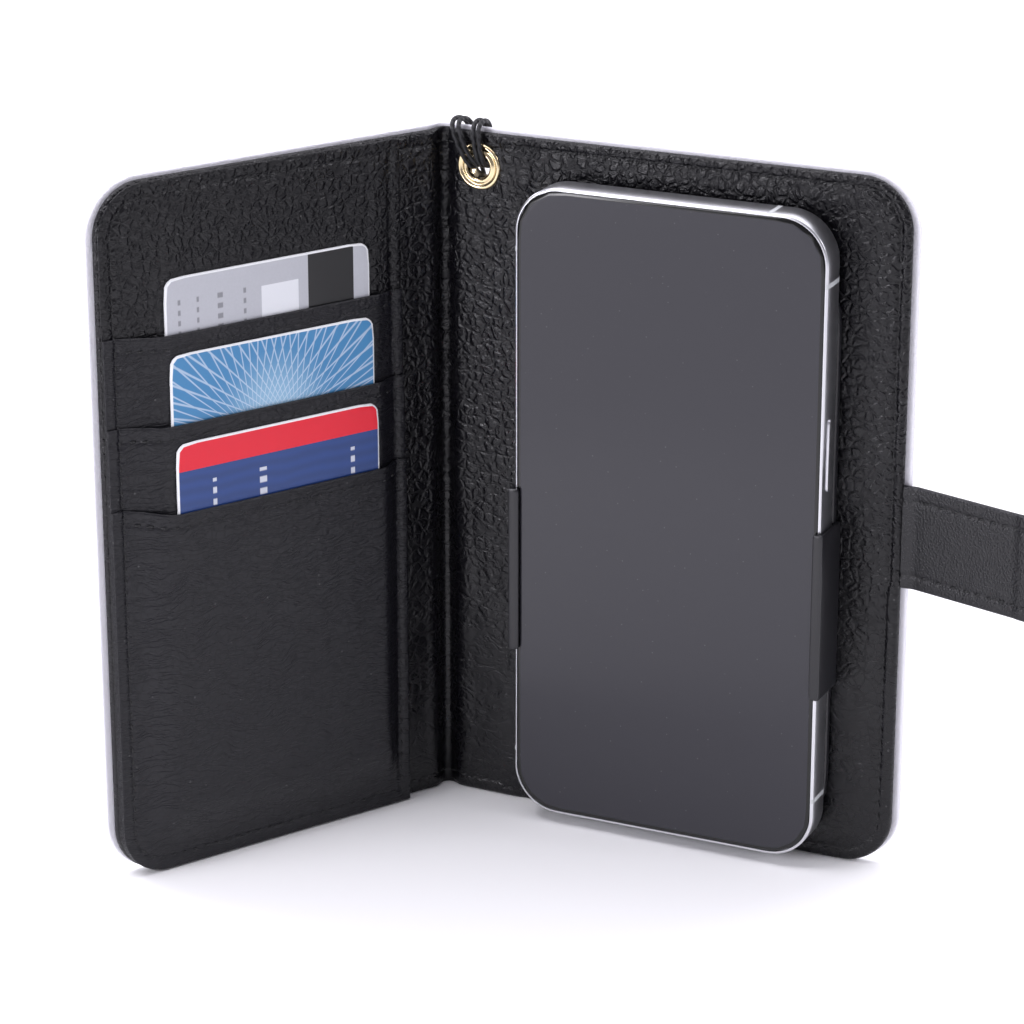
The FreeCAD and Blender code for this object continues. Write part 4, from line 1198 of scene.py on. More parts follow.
@dataclass
class Covers:
    """The leather of both covers and the spine, inside and out, in two halves.

    The halves meet on the spine, so that each one folds at a single crease.
    """

    stitch: Thread = field(default_factory=Thread)
    front_inset: float = 3.4
    back_inset: float = 2.4
    jog: float = 0.7
    jog_below: float = 69.0
    groove: float = 1.5
    groove_wide: float = 2.4
    ridge: float = 0.34
    back_groove: float = 0.5
    spine_swell: float = 0.12
    spine_room: float = 0.27
    pull_low: float = 0.45
    stitch_dip: float = 0.42
    pucker: float = 0.15
    puff: float = 0.12
    grain: float = 0.08
    grain_cell: float = 2.9
    soft: float = 0.22
    upright: float = 0.20
    edge: float = 1.15
    hem: float = 6.0
    eyelet_hole: float = 4.2
    skin_inset: float = 4.6
    skin_edge: float = 0.5
    skin_hem: float = 3.0

    def __post_init__(self) -> None:
        """Reads the panels' sizes from the frame."""
        self.face = BACK.box("back_lining")[1][2]
        self.eyelet = SPINE.centre("eyelet_barrel")[:2]

    def folds(self, xs: Numbers, depth: float, groove: float) -> Numbers:
        """Gives the two crease grooves, as a change of depth across the spine."""
        ridge_out, ridge_wide, back_wide = 4.4, 1.7, 1.4
        front = groove * np.exp(-((xs + SPINE_HALF) / self.groove_wide) ** 2)
        front = front - self.ridge * np.exp(-((xs + SPINE_HALF + ridge_out) / ridge_wide) ** 2)
        back = depth * np.exp(-((xs - SPINE_HALF) / back_wide) ** 2)
        return -front - back

    def lining_depth(self, half: "Half", x: Numbers, z: Numbers, away: Numbers,
                     run: Numbers) -> Numbers:
        """Gives the depth of the inner leather's surface."""
        xs = x + half.to_spine
        inset = self.inset_at(half, x, z)
        swell = self.spine_swell * smooth(SPINE_HALF, SPINE_HALF - 4.5, np.abs(xs))
        depth = self.face + self.folds(xs, self.back_groove, self.groove) + swell
        pulled = self.pull_low + (1 - self.pull_low) * smooth(6, 30, z)
        depth = depth + pulled * dip(away, inset, self.stitch_dip)
        depth = depth + self.puff * smooth(inset, inset + 4, away)
        depth = depth + pulled * puckers(away, run, inset, self.stitch.pitch, self.pucker)
        lively = 0.12 + 0.88 * smooth(60, 150, z + 25 * ripple(xs / 30, z / 30, 3))
        cell_x, cell_z = (along / self.grain_cell + 0.7 * ripple(xs / 4, z / 4, seed)
                          for along, seed in ((xs, 7), (z, 9)))
        grain = self.grain * pebbles(cell_x, cell_z, 41) * lively
        soft = self.soft * layered(xs / 11, z / 13, 19)
        on_spine = smooth(SPINE_HALF + 2, SPINE_HALF - 3, np.abs(xs))
        upright = self.upright * layered(xs / 2.4, z / 14, 23) * on_spine
        depth = depth + grain * smooth(0.2, 2.2, away)
        depth = depth + (soft + upright) * smooth(2.5, 7.5, away)
        return np.where(np.abs(xs) < SPINE_HALF, np.minimum(depth, self.face + self.spine_room),
                        depth)

    def inset_at(self, half: "Half", x: Numbers, z: Numbers) -> Numbers:
        """Gives how far in from the edge the border stitches run."""
        if half.side < 0:
            return np.full(np.shape(x), self.front_inset)
        free_side = smooth(60, 80, x)
        return self.back_inset + self.jog * free_side * smooth(
            self.jog_below + 1, self.jog_below - 1, z)

    def skin_depth(self, half: "Half", x: Numbers, z: Numbers, away: Numbers,
                   run: Numbers) -> Numbers:
        """Gives the depth of the outer leather's surface, facing out."""
        xs = x + half.to_spine
        outer = BACK.box("back_outer_skin")[0][2]
        crease, crease_wide, softness, stitch_dip, pucker = 0.35, 1.3, 0.09, 0.3, 0.05
        creases = crease * np.exp(-((np.abs(xs) - SPINE_HALF) / crease_wide) ** 2)
        soft = softness * (1 + layered(xs / 14, z / 17, 29))
        puff = self.puff * smooth(self.skin_inset + 4, self.skin_inset, away)
        depth = outer + creases + soft + puff - dip(away, self.skin_inset, stitch_dip)
        return depth - puckers(away, run, self.skin_inset, self.stitch.pitch, pucker)

    def build(self) -> None:
        """Builds both halves, inside and out, and their stitches."""
        lining, skin, thread = (LINING_FINISH.material(), SKIN_FINISH.material(),
                                THREAD_FINISH.material())
        for half in (Half.front(), Half.back()):
            hole = self.hole(half)
            inner = half.sheet(half.name + "_lining", hem=self.hem, edge=self.edge, holes=hole)
            low, high = half.flat.box(half.name + "_outer_skin")
            outer = half.sheet(half.name + "_outer_skin", hem=self.skin_hem,
                               edge=self.skin_edge, front=low[2], back=high[2], holes=hole)
            for sheet, depth, rows, finish, layer in (
                    (inner, self.lining_depth, self.border_rows(half, inner), lining,
                     ("inner", "border", "lining", "lining_leather", 1.0)),
                    (outer, self.skin_depth, [outer.border(self.skin_inset, half.sides)], skin,
                     ("outer", "outer", "outer_skin", "outer_leather", -1.0))):
                relief, (face, row, node, slot, outward) = partial(depth, half), layer
                leather = sheet.build("%s_%s_leather" % (half.name, face), half.flat, relief,
                                      shift=half.to_spine)
                half.fold(dress(leather, finish))
                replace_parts(leather, "%s_%s" % (half.name, node))
                if half.side < 0:
                    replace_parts(leather, "spine_" + node)
                sewn = self.stitch.sew("%s_%s_stitches" % (half.name, row), half.flat, rows,
                                       sheet.surface(relief), shift=half.to_spine,
                                       outward=outward)
                half.fold(dress(sewn, thread))

    def hole(self, half: "Half") -> tuple[Triple, ...]:
        """Gives the eyelet's hole in a half's own frame."""
        across = self.eyelet[0] - half.to_spine
        return ((across, self.eyelet[1], self.eyelet_hole),)

    def border_rows(self, half: "Half", sheet: Sheet) -> list[Numbers]:
        """Gives the inner border's stitch rows that run on this leather itself."""
        inset = self.front_inset if half.side < 0 else self.back_inset
        path = sheet.border(inset, half.sides)
        if half.side > 0:
            path[:, 0] -= self.inset_at(half, path[:, 0], path[:, 1]) - inset
            return [path]
        clear_of_panel = FRONT.box("cash_pocket_panel")[1][0] + 0.8
        path = path[path[:, 0] > clear_of_panel]
        halfway = 80
        return [path[path[:, 1] < halfway], path[path[:, 1] > halfway]]


@dataclass(frozen=True)
class Half:
    """One half of the case's leather: a cover and the part of the spine next to it."""

    name: str
    flat: Flat
    side: int
    body: str
    corners: tuple[Corner, ...]
    sides: tuple[Side, ...]

    @classmethod
    def front(cls) -> "Half":
        """Gives the half with the front cover."""
        return cls("front", FRONT, -1, "front_cover", LEFT_CORNERS,
                   (Side.HIGH, Side.LEFT, Side.LOW))

    @classmethod
    def back(cls) -> "Half":
        """Gives the half with the back cover."""
        return cls("back", BACK, 1, "back_cover", RIGHT_CORNERS,
                   (Side.LOW, Side.RIGHT, Side.HIGH))

    @property
    def to_spine(self) -> float:
        """Turns an x of this half into a distance from the middle of the spine."""
        return self.side * SPINE_HALF

    def sheet(self, node: str, **changes: object) -> Sheet:
        """Gives a sheet over a cover and its part of the spine, from the cover's CAD node."""
        low, high = self.flat.box(node)
        seam = SEAM_AT - self.to_spine
        rounding = (high[0] if self.side > 0 else -low[0]) - CORNER_AT
        ends = dict(left=seam, open_sides=(Side.LEFT,)) if self.side > 0 else dict(
            right=seam, open_sides=(Side.RIGHT,))
        return Sheet.of(self.flat, node, **{
            "radius": rounding, "corners": self.corners, **ends, **changes})

    def fold(self, piece: bpy.types.Object) -> None:
        """Bakes a piece's placement into its mesh."""
        reach = self.flat.bend + FOLD_MARGIN
        on_cover = self.flat.point(self.side * reach, 0.0, 0.0)
        on_spine = self.flat.point(-self.side * reach, 0.0, 0.0)
        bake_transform(piece)


@dataclass
class FrontPockets:
    """The cash pocket panel, the three card pockets, their stitches and the cards."""

    stitch: Thread = field(default_factory=lambda: Thread(pitch=2.9, length=2.2, gauge=0.5,
                                                            proud=-0.03))
    inset: float = 3.4
    tuck: float = 0.35
    thick: float = 0.6
    hem_row: float = 3.2
    free_row: float = 2.2
    rises: tuple[float, ...] = (1.3, 1.4, 2.6)
    hem: float = 4.5
    edge: float = 0.42
    radius: float = 12.0
    card_radius: float = 3.18
    card_gap: float = 0.04

    def __post_init__(self) -> None:
        """Reads the sheets' sizes from the frame."""
        self.panel = self.sheet("cash_pocket_panel", LEFT_CORNERS)
        self.pockets = [self.sheet("card_pocket_%d" % n, (Corner.BOTTOM_LEFT,))
                        for n in (1, 2, 3)]
        self.cards = [FRONT.box("card_%d" % n) for n in (1, 2, 3)]

    def sheet(self, node: str, corners: tuple[Corner, ...]) -> Sheet:
        """Gives one leather sheet, tucked in a little from the cover's edge."""
        low, high = FRONT.box(node)
        tuck = self.tuck
        top = high[1] - (tuck if Corner.TOP_LEFT in corners else 0.0)
        return Sheet.of(FRONT, node, left=low[0] + tuck, low=low[1] + tuck, high=top,
                        radius=self.radius - tuck, corners=corners, edge=self.edge, hem=self.hem)

    def base(self, number: int) -> float:
        """Gives the depth that a pocket's sheet rests at beside its card."""
        return self.panel.front + self.thick * (number - 1)

    def lifted(self, number: int, x: Numbers, z: Numbers, *_: Numbers) -> Numbers:
        """Gives the depth of the back of a pocket's sheet, raised over its card."""
        low, high = self.cards[number - 1]
        over = smooth(low[0] - 11.5, low[0] - 0.9, x) * smooth(high[0] + 6.2, high[0] + 0.9, x)
        over = over * smooth(low[1] - 13.0, low[1] - 0.9, z)
        base = self.base(number)
        return base + (high[2] + 0.1 - base) * over

    def features(self, x: Numbers, z: Numbers, away: Numbers, run: Numbers,
                 seed: int) -> Numbers:
        """Gives the stitch grooves, puckers and softness that every sheet here has."""
        outer = np.minimum(x - self.panel.left, z - self.panel.low)
        outer = np.minimum(outer, self.panel.measure(x, z)[0])
        row = self.inset - self.tuck
        depth = dip(outer, row, 0.32, 0.6) + puckers(outer, run, row, self.stitch.pitch, 0.12)
        free = self.panel.right - x
        depth = depth + dip(free, self.free_row, 0.26) + puckers(
            free, z, self.free_row, self.stitch.pitch, 0.06)
        quiet = smooth(0.1, 1.6, away)
        soft = 0.07 * layered(x / 10, z / 12, seed) + 0.045 * layered(x / 14, z / 2.6, seed + 3)
        return depth + quiet * soft

    def clear(self, number: int, x: Numbers, depth: Numbers, thread: float = 0.0) -> Numbers:
        """Keeps a sheet, and any thread on it, out of the path of the card that slides over it."""
        if number >= len(self.cards):
            return depth
        low, high = self.cards[number]
        over = (x > low[0] - 1.0) & (x < high[0] + 1.0)
        return np.where(over, np.minimum(depth, low[2] - self.card_gap - thread), depth)

    def panel_depth(self, x: Numbers, z: Numbers, away: Numbers, run: Numbers) -> Numbers:
        """Gives the depth of the cash pocket panel's surface."""
        lively = smooth(60, 150, z + 25 * ripple(x / 30, z / 30, 3))
        grain = 0.075 * pebbles(x / 2.3 + 0.4 * ripple(x / 3, z / 3, 7), z / 2.3, 43) * lively
        puff = 0.12 * smooth(self.inset, self.inset + 4, away)
        depth = self.panel.front + self.features(x, z, away, run, 31) + puff
        return self.clear(0, x, depth + grain * smooth(0.2, 2, away))

    def pocket_depth(self, number: int, x: Numbers, z: Numbers, away: Numbers,
                     run: Numbers) -> Numbers:
        """Gives the depth of a card pocket's surface."""
        lip = self.pockets[number - 1].high - z
        bead = 0.16 * np.exp(-((lip - 0.7) / 0.6) ** 2)
        rows = dip(lip, self.hem_row, 0.2, 0.45) + puckers(
            lip, x, self.hem_row, self.stitch.pitch, 0.05)
        grain = 0.05 * pebbles(x / 2.1, z / 2.1, 47 + number) * smooth(-60, -25, x)
        depth = self.lifted(number, x, z) + self.thick + bead + rows + grain
        return self.clear(number, x, depth + self.features(x, z, away, run, 50 + 7 * number))

    def rise(self, number: int, x: Numbers, z: Numbers) -> Numbers:
        """Gives heights whose lip turns up towards the cover's outer edge."""
        pocket = self.pockets[number - 1]
        out = smooth(pocket.left + 17, pocket.left + 1.5, x)
        return z + self.rises[number - 1] * out * smooth(pocket.high - 16, pocket.high - 1, z)

    def surface(self, x: Numbers, z: Numbers) -> Numbers:
        """Gives the depth of whichever sheet lies on top."""
        thread = self.stitch.gauge / 2 + self.stitch.proud
        depth = self.clear(0, x, self.panel_depth(x, z, *self.panel.measure(x, z)), thread)
        for number, pocket in enumerate(self.pockets, start=1):
            lip = self.rise(number, x, np.full_like(z, pocket.high))
            level = self.pocket_depth(number, x, z, *pocket.measure(x, z))
            depth = np.where(z < lip, self.clear(number, x, level, thread), depth)
        return depth

    def build(self) -> None:
        """Builds the sheets, their stitches and the cards."""
        slot, body = "pocket_leather", "front_cover"
        panel = self.panel.build("cash_pocket_leather", FRONT, self.panel_depth)
        fit(panel, PANEL_FINISH.material(), slot, body, "cash_pocket_panel")
        leather, thread = POCKET_FINISH.material(), THREAD_FINISH.material()
        rows = [self.kept(self.panel.border(self.inset - self.tuck,
                                            (Side.HIGH, Side.LEFT, Side.LOW)))]
        free = self.panel.right - self.free_row
        margin, spacing = 1.5, 0.25
        ups = np.arange(self.panel.low + margin, self.panel.high - margin, spacing)
        rows.append(np.stack([np.full_like(ups, free), ups], axis=-1))
        for number, sheet in enumerate(self.pockets, start=1):
            pocket = sheet.build("card_pocket_leather_%d" % number, FRONT,
                                 partial(self.pocket_depth, number),
                                 partial(self.lifted, number), warp=partial(self.rise, number))
            fit(pocket, leather, slot, body, "card_pocket_%d" % number)
            across = np.arange(sheet.left + self.inset + margin, free - margin, spacing)
            height = self.rise(number, across, np.full_like(across, sheet.high - self.hem_row))
            rows.append(np.stack([across, height], axis=-1))
        sewn = self.stitch.sew("pocket_stitches", FRONT, rows, self.surface)
        fit(sewn, thread, slot, body)
        self.build_cards()

    def kept(self, path: Numbers) -> Numbers:
        """Leaves out the part of the border beyond the panel's free edge."""
        return path[path[:, 0] < self.panel.right - self.free_row]

    def build_cards(self) -> None:
        """Builds the three cards with their printed faces."""
        designs = (
            ("card_silver", CardStyle.STRIPED_BACK, (0.47, 0.48, 0.52), (0.8, 0.8, 0.8)),
            ("card_sky", CardStyle.CROSSED_RAYS, (0.050, 0.235, 0.48), (0.30, 0.52, 0.72)),
            ("card_blue", CardStyle.BANDED, (0.012, 0.045, 0.19), (0.80, 0.004, 0.026)),
        )
        for number, (slot, style, ground, accent) in enumerate(designs, start=1):
            node = "card_%d" % number
            low, high = self.cards[number - 1]
            sheet = Sheet.of(FRONT, node, radius=self.card_radius, corners=ALL_CORNERS,
                             edge=0.14, step=4.0, fine=(0.0, 0.04, 0.14, 0.5, 1.5))
            design = CardPrint("Printed card, " + style.value, style, left=low[0], high=high[1],
                               wide=high[0] - low[0], ground=ground, accent=accent)
            fit(sheet.build("printed_" + node, FRONT), design.material(), slot, node, node)


@dataclass
class Eyelet:
    """The brass eyelet, its washer, the ferrule and the cord that passes through it."""

    bore: float = 2.75
    cord_wide: float = 1.1
    cord_long: float = 141.9
    route: tuple[Triple, ...] = (
        (-1.6, 4.2, 145.0), (-1.6, 4.2, 149.9), (-4.6, 4.4, 157.6), (-7.1, 4.2, 165.3),
        (-8.3, -2.6, 165.3), (-2.7, -2.8, 154.3), (-2.7, 4.4, 154.8), (-5.7, 4.2, 165.3),
        (-6.6, -2.6, 165.3), (-1.55, -2.8, 155.1), (-1.55, 4.4, 155.1), (-2.0, 4.2, 165.3),
        (-2.3, -2.6, 165.3), (-0.4, -2.8, 155.1), (-0.4, 4.4, 155.1), (-0.7, 4.2, 165.3),
        (-0.9, -2.6, 165.3), (0.7, -2.8, 155.1), (0.7, 4.5, 155.1), (-0.4, 4.2, 149.5),
        (-0.4, 4.2, 145.0))

    def build(self) -> None:
        """Builds the metal pieces and the cord."""
        brass = BRASS_FINISH.material()
        low, high = SPINE.box("eyelet_barrel")
        centre = SPINE.centre("eyelet_barrel")[:2]
        r, rear, front = self.bore, low[2], high[2]
        barrel = turned("eyelet_brass_barrel", SPINE, centre, [
            (r, rear + 0.5), (r, front - 1.0), (r + 0.07, front - 0.42), (r + 0.27, front - 0.12),
            (r + 0.62, front), (r + 0.95, front - 0.12), (r + 1.2, front - 0.42),
            (r + 1.4, front - 0.5), (r + 1.6, front - 0.4), (r + 1.85, front - 0.17),
            (r + 2.15, front - 0.1), (r + 2.45, front - 0.22), (r + 2.68, front - 0.55),
            (r + 2.75, front - 0.95), (r + 2.6, front - 1.08), (r + 0.6, front - 1.05),
            (r + 0.5, front - 1.2), (r + 0.5, rear + 1.05), (r + 0.85, rear + 0.66),
            (r + 1.3, rear + 0.52), (r + 1.55, rear + 0.3), (r + 1.45, rear + 0.07),
            (r + 1.1, rear), (r + 0.6, rear + 0.02), (r + 0.15, rear + 0.15)])
        fit(barrel, brass, "eyelet_brass", "spine", "eyelet_barrel")
        low, high = SPINE.box("eyelet_washer")
        outer = (high[0] - low[0]) / 2
        washer = turned("eyelet_back_washer", SPINE, centre, [
            (r + 0.55, high[2]), (r + 0.55, low[2] + 0.05), (r + 0.7, low[2]),
            (outer - 0.3, low[2] + 0.08), (outer, low[2] + 0.3), (outer - 0.02, high[2])])
        fit(washer, brass, "eyelet_brass", "spine", "eyelet_washer")
        self.build_cord(self.build_ferrule())

    def build_ferrule(self) -> bpy.types.Object:
        """Builds the crimped ferrule that joins the cord's ends."""
        low, high = SPINE.box("cord_ferrule")
        (x, _, d), radius = SPINE.centre("cord_ferrule"), (high[0] - low[0]) / 2
        shape = [(0.0, -0.45), (0.12, -0.15), (0.4, 0.0), (1.9, 0.0), (2.15, -0.16), (2.5, -0.2),
                 (2.85, -0.16), (3.1, 0.0), (4.9, 0.0), (5.15, -0.16), (5.5, -0.2),
                 (5.85, -0.16), (6.1, 0.0), (7.6, 0.0), (7.88, -0.15), (8.0, -0.45)]
        steps = 48
        turns = [2 * math.pi * k / steps for k in range(steps)]
        rings = [[(x + (radius + r) * math.cos(t), low[1] + z, d + (radius + r) * math.sin(t))
                  for t in turns] for z, r in shape]
        ferrule = swept("crimped_ferrule", SPINE, rings, looped=False)
        return fit(ferrule, STEEL_FINISH.material(), "ferrule_metal", "spine", "cord_ferrule")

    def build_cord(self, ferrule: bpy.types.Object) -> None:
        """Builds the cord along its route, wound twice over the top edge."""
        curve = bpy.data.curves.new("looped_cord", "CURVE")
        curve.dimensions = "3D"
        curve.bevel_depth = self.cord_wide / 2 * MM
        curve.bevel_resolution = 5
        curve.use_fill_caps = True
        spline = curve.splines.new("NURBS")
        spline.points.add(len(self.route) - 1)
        for point, (x, back, z) in zip(spline.points, self.route):
            point.co = (*SPINE.point(x, z, -back), 1.0)
        spline.order_u = 3
        spline.use_endpoint_u = True
        spline.resolution_u = 12
        cord = fit(link("looped_cord", curve), CORD_FINISH.material(), "cord_textile", "spine",
                   "eyelet_cord")
        x, back, z = self.route[0]


def rounded_loop(left: float, right: float, low: float, high: float, radius: float,
                 steps: int = 18) -> list[Triple]:
    """Gives points round a rectangle with round corners, as (x, z, turn in radians)."""
    points: list[Triple] = []
    for corner, (cx, cz) in enumerate(((right, high), (left, high), (left, low), (right, low))):
        ax = cx - radius if cx == right else cx + radius
        az = cz - radius if cz == high else cz + radius
        for k in range(steps + 1):
            turn = math.radians(90 * corner + 90 * k / steps)
            points.append((ax + radius * math.cos(turn), az + radius * math.sin(turn), turn))
    return points


@dataclass
class Phone:
    """The phone: its metal frame, glasses, antenna bands and power key."""

    radius: float = 11.0
    glass_inset: float = 0.62
    chamfer: float = 0.4
    ledge: float = 0.9
    ledge_wide: float = 1.5
    lip: float = 0.06
    band: float = 1.1
    band_proud: float = 0.012
    band_from_top: float = 15.6
    band_from_bottom: float = 14.4
    band_from_side: float = 14.6
    key_rounding: float = 0.22

    def __post_init__(self) -> None:
        """Reads the phone's box from the frame."""
        low, high = HELD.box("phone_frame")
        self.left, self.low, self.rear = (float(v) for v in low)
        self.right, self.high, self.front = (float(v) for v in high)

    def build(self) -> None:
        """Builds the phone's pieces."""
        inset, c, thick = self.glass_inset, self.chamfer, self.front - self.rear
        half = [(inset + self.ledge_wide, self.ledge), (inset, self.ledge), (inset, self.lip),
                (c, self.lip), (c * 0.3, 0.2), (0.0, c)]
        profile = half + [(d, thick - h) for d, h in reversed(half)]
        loop = rounded_loop(self.left, self.right, self.low, self.high, self.radius)
        sections = [[(x - d * math.cos(t), z - d * math.sin(t), self.rear + h)
                     for d, h in profile] for x, z, t in loop]
        frame_ring = swept("phone_metal_frame", HELD, sections, looped=True)
        fit(frame_ring, CASING_FINISH.material(), "phone_metal", "phone", "phone_frame")
        glass = 0.85
        self.build_glass("phone_screen", "phone_front_glass", SCREEN_FINISH,
                         self.front - glass, self.front)
        self.build_glass("phone_rear_cover", "phone_back_glass", REAR_FINISH,
                         self.rear + glass, self.rear)
        self.build_bands()
        self.build_key()

    def build_glass(self, name: str, node: str, finish: ScreenGlass, back: float,
                    front: float) -> None:
        """Builds one of the two glasses, with its edge rolled over."""
        inset = self.glass_inset
        sheet = Sheet.of(HELD, node, left=self.left + inset, right=self.right - inset,
                         low=self.low + inset, high=self.high - inset, back=back, front=front,
                         radius=self.radius - inset, corners=ALL_CORNERS, edge=0.4, step=5.0,
                         fine=(0.0, 0.02, 0.08, 0.2, 0.4, 1.0, 2.0))
        fit(sheet.build(name, HELD), finish.material(), "phone_glass", "phone", node)

    def build_bands(self) -> None:
        """Builds the antenna bands, a hair proud of the frame."""
        p, c, thick = self.band_proud, self.chamfer, self.front - self.rear
        profile = [(c, -p + 0.06), (c * 0.3 - p, 0.2 - p), (-p, c), (-p, thick - c),
                   (c * 0.3 - p, thick - 0.2 + p), (c, thick + p - 0.06), (c + 0.3, thick - 0.4),
                   (0.35, thick / 2), (c + 0.3, 0.4)]
        half = self.band / 2
        rings: list[tuple[list[Triple], list[Triple]]] = []
        for z in (self.high - self.band_from_top + half, self.low + self.band_from_bottom + half):
            for x, s in ((self.right, -1), (self.left, 1)):
                rings.append(tuple([(x + s * d, z + e, self.rear + h) for d, h in profile]
                                   for e in (-half, half)))
        x = self.right - self.band_from_side + half
        for z, s in ((self.high, -1), (self.low, 1)):
            rings.append(tuple([(x + e, z + s * d, self.rear + h) for d, h in profile]
                               for e in (-half, half)))
        plastic = BAND_FINISH.material()
        for number, pair in enumerate(rings, start=1):
            band = swept("antenna_band_%d" % number, HELD, pair, looped=False)
            fit(band, plastic, "band_plastic", "phone",
                *(("antenna_bands",) if number == 1 else ()))

    def build_key(self) -> None:
        """Builds the power key as a bar with rounded edges."""
        low, high = HELD.box("power_key")
        r = self.key_rounding
        _, cz, cd = HELD.centre("power_key")
        _, half_z, half_d = (high - low) / 2
        rings = []
        for x, drawn in ((low[0], 0.0), (high[0] - r, 0.0), (high[0] - r * 0.3, r * 0.3),
                         (high[0], r)):
            ring = rounded_loop(-half_d + drawn, half_d - drawn, -half_z + drawn,
                                half_z - drawn, half_d - drawn - 0.01, steps=8)
            rings.append([(x, cz + z, cd + d) for d, z, _ in ring])
        key = swept("power_key_bar", HELD, rings, looped=False)
        fit(key, CASING_FINISH.material(), "phone_metal", "power_key", "power_key")


@dataclass
class Holder:
    """The plate glued to the back cover and the two clips that hold the phone."""

    edge: float = 0.4
    radius: float = 10.0
    wall: float = 0.9
    lip: float = 1.1
    rounding: float = 0.42

    def build(self) -> None:
        """Builds the plate and both clips."""
        plastic = HOLDER_FINISH.material()
        sheet = Sheet.of(HELD, "holder_plate", radius=self.radius, corners=ALL_CORNERS,
                         edge=self.edge, step=6.0, fine=(0.0, 0.05, 0.15, 0.4, 1.0))
        pieces = ((sheet.build("holder_base_plate", HELD), "holder_plate"),
                  (self.clip("clip_left", -1), "clip_left"),
                  (self.clip("clip_right", 1), "clip_right"))
        for piece, node in pieces:
            fit(piece, plastic, "holder_plastic", "back_cover", node)

    def clip(self, node: str, side: int) -> bpy.types.Object:
        """Builds one clip: a wall beside the phone and a lip over its edge, both rounded."""
        low, high = HELD.box(node)
        outer, inner = (high[0], low[0]) if side > 0 else (low[0], high[0])
        top, base, s = high[2], low[2], -side
        wall, lip, r = self.wall, self.lip, self.rounding
        tip = abs(inner - outer)
        half = [(0.0, base), (0.0, top - r), (r * 0.3, top - r * 0.3), (r, top),
                (tip - 0.5, top - 0.1), (tip - 0.12, top - 0.3), (tip, top - 0.6),
                (tip - 0.12, top - lip + 0.08), (tip - 0.4, top - lip), (wall + 0.25, top - lip),
                (wall, top - lip - 0.25), (wall, base)]
        rings = []
        ends = ((0.0, 0.80), (0.25, 0.92), (0.9, 1.0))
        for z, share in [(low[1] + up, share) for up, share in ends] + [
                (high[1] - down, share) for down, share in reversed(ends)]:
            ring = []
            for away, depth in half:
                drawn = max(away, (1 - share) * 1.2) if away < wall else away
                drawn = min(drawn, tip * share) if away > wall + 0.3 else drawn
                ring.append((outer + s * drawn, z, min(depth, top - (1 - share) * 1.0)))
            rings.append(ring)
        return swept("phone_" + node, HELD, rings, looped=False)


@dataclass
class Strap:
    """The closing strap: a tongue and gusset on one fold, and a tab on the next."""

    stitch: Thread = field(default_factory=lambda: Thread(pitch=3.1, length=2.2, gauge=0.5))
    inset: float = 3.3
    tongue: float = 12.0
    edge: float = 0.55
    radius: float = 8.0
    fold_reach: float = 2.2

    def __post_init__(self) -> None:
        """Reads the strap's boxes from the frame."""
        gusset_low, gusset_high = STRAP_ROOT.box("gusset_inner_layer")
        outer_low, _ = STRAP_ROOT.box("gusset_outer_layer")
        self.low, self.high = float(gusset_low[1]), float(gusset_high[1])
        self.thin = (float(outer_low[2]), float(gusset_high[2]))
        self.long = math.dist(ROOT_FOLD, TAB_FOLD)
        low, _ = STRAP_TAB.box("tab_outer_layer")
        _, high = STRAP_TAB.box("tab_inner_layer")
        self.thick = (float(low[2]), float(high[2]))
        self.tip = float(high[0])

    def level(self, shift: float, side: int, x: Numbers, z: Numbers, away: Numbers,
              _: Numbers) -> Numbers:
        """Gives the depth of the strap's inner or outer face.

        Args:
            shift: Where the strap's half starts along the strap; the far half grows thicker.
            side: 1 for the inner face, -1 for the outer.
            x: Distances from the half's own fold line.
            z: Heights.
            away: Distances from the nearest edge.

        Returns:
            The depths.
        """
        thin, thick = ((self.thin[1], self.thick[1]) if side > 0
                       else (self.thin[0], self.thick[0]))
        thicker = smooth(1.0, 3.0, x) if shift else np.zeros_like(x)
        depth = thin + (thick - thin) * thicker
        puff = 0.06 * layered((x + shift) / 9, z / 9, 61) - 0.08 * smooth(2.2, 0.3, away)
        groove = dip(away, self.inset, 0.26, 0.55)
        return depth + side * (puff + groove)

    def build(self) -> None:
        """Builds the strap's two halves and their stitches."""
        leather, thread = STRAP_FINISH.material(), THREAD_FINISH.material()
        middle = self.long / 2
        near = Sheet(-self.tongue, middle, self.low, self.high, *self.thin, edge=self.edge,
                     open_sides=(Side.RIGHT,), step=0.8)
        far = Sheet(-middle, self.tip, self.low, self.high, *self.thick, radius=self.radius,
                    corners=RIGHT_CORNERS, edge=self.edge, open_sides=(Side.LEFT,), step=0.8)
        near_rows = [row[row[:, 0] > 0.8] for row in (
            near.border(self.inset, (side,)) for side in (Side.LOW, Side.HIGH))]
        far_rows = [far.border(self.inset, (Side.LOW, Side.RIGHT, Side.HIGH))]
        parts = (
            ("near", near, STRAP_ROOT, 0.0, near_rows, ("back_cover", "strap_root"),
             ("strap_tongue", "gusset_inner_layer", "gusset_outer_layer")),
            ("far", far, STRAP_TAB, self.long, far_rows, ("strap_root", "strap_tab"),
             ("tab_inner_layer", "tab_outer_layer")),
        )
        for name, sheet, flat, shift, rows, bodies, nodes in parts:
            inner, outer = partial(self.level, shift, 1), partial(self.level, shift, -1)
            piece = sheet.build("strap_%s_leather" % name, flat, inner, outer, shift=shift)
            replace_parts(dress(piece, leather), *nodes)
            pieces = [piece]
            for face, label, outward in ((inner, "inner", 1.0), (outer, "outer", -1.0)):
                sewn = self.stitch.sew("strap_%s_%s_stitches" % (name, label), flat, rows,
                                       sheet.surface(face), shift=shift, outward=outward)
                pieces.append(dress(sewn, thread))
            start, end = (flat.point(reach, 0.0, 0.0)
                          for reach in (-self.fold_reach, self.fold_reach))
            for item in pieces:
                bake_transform(item)


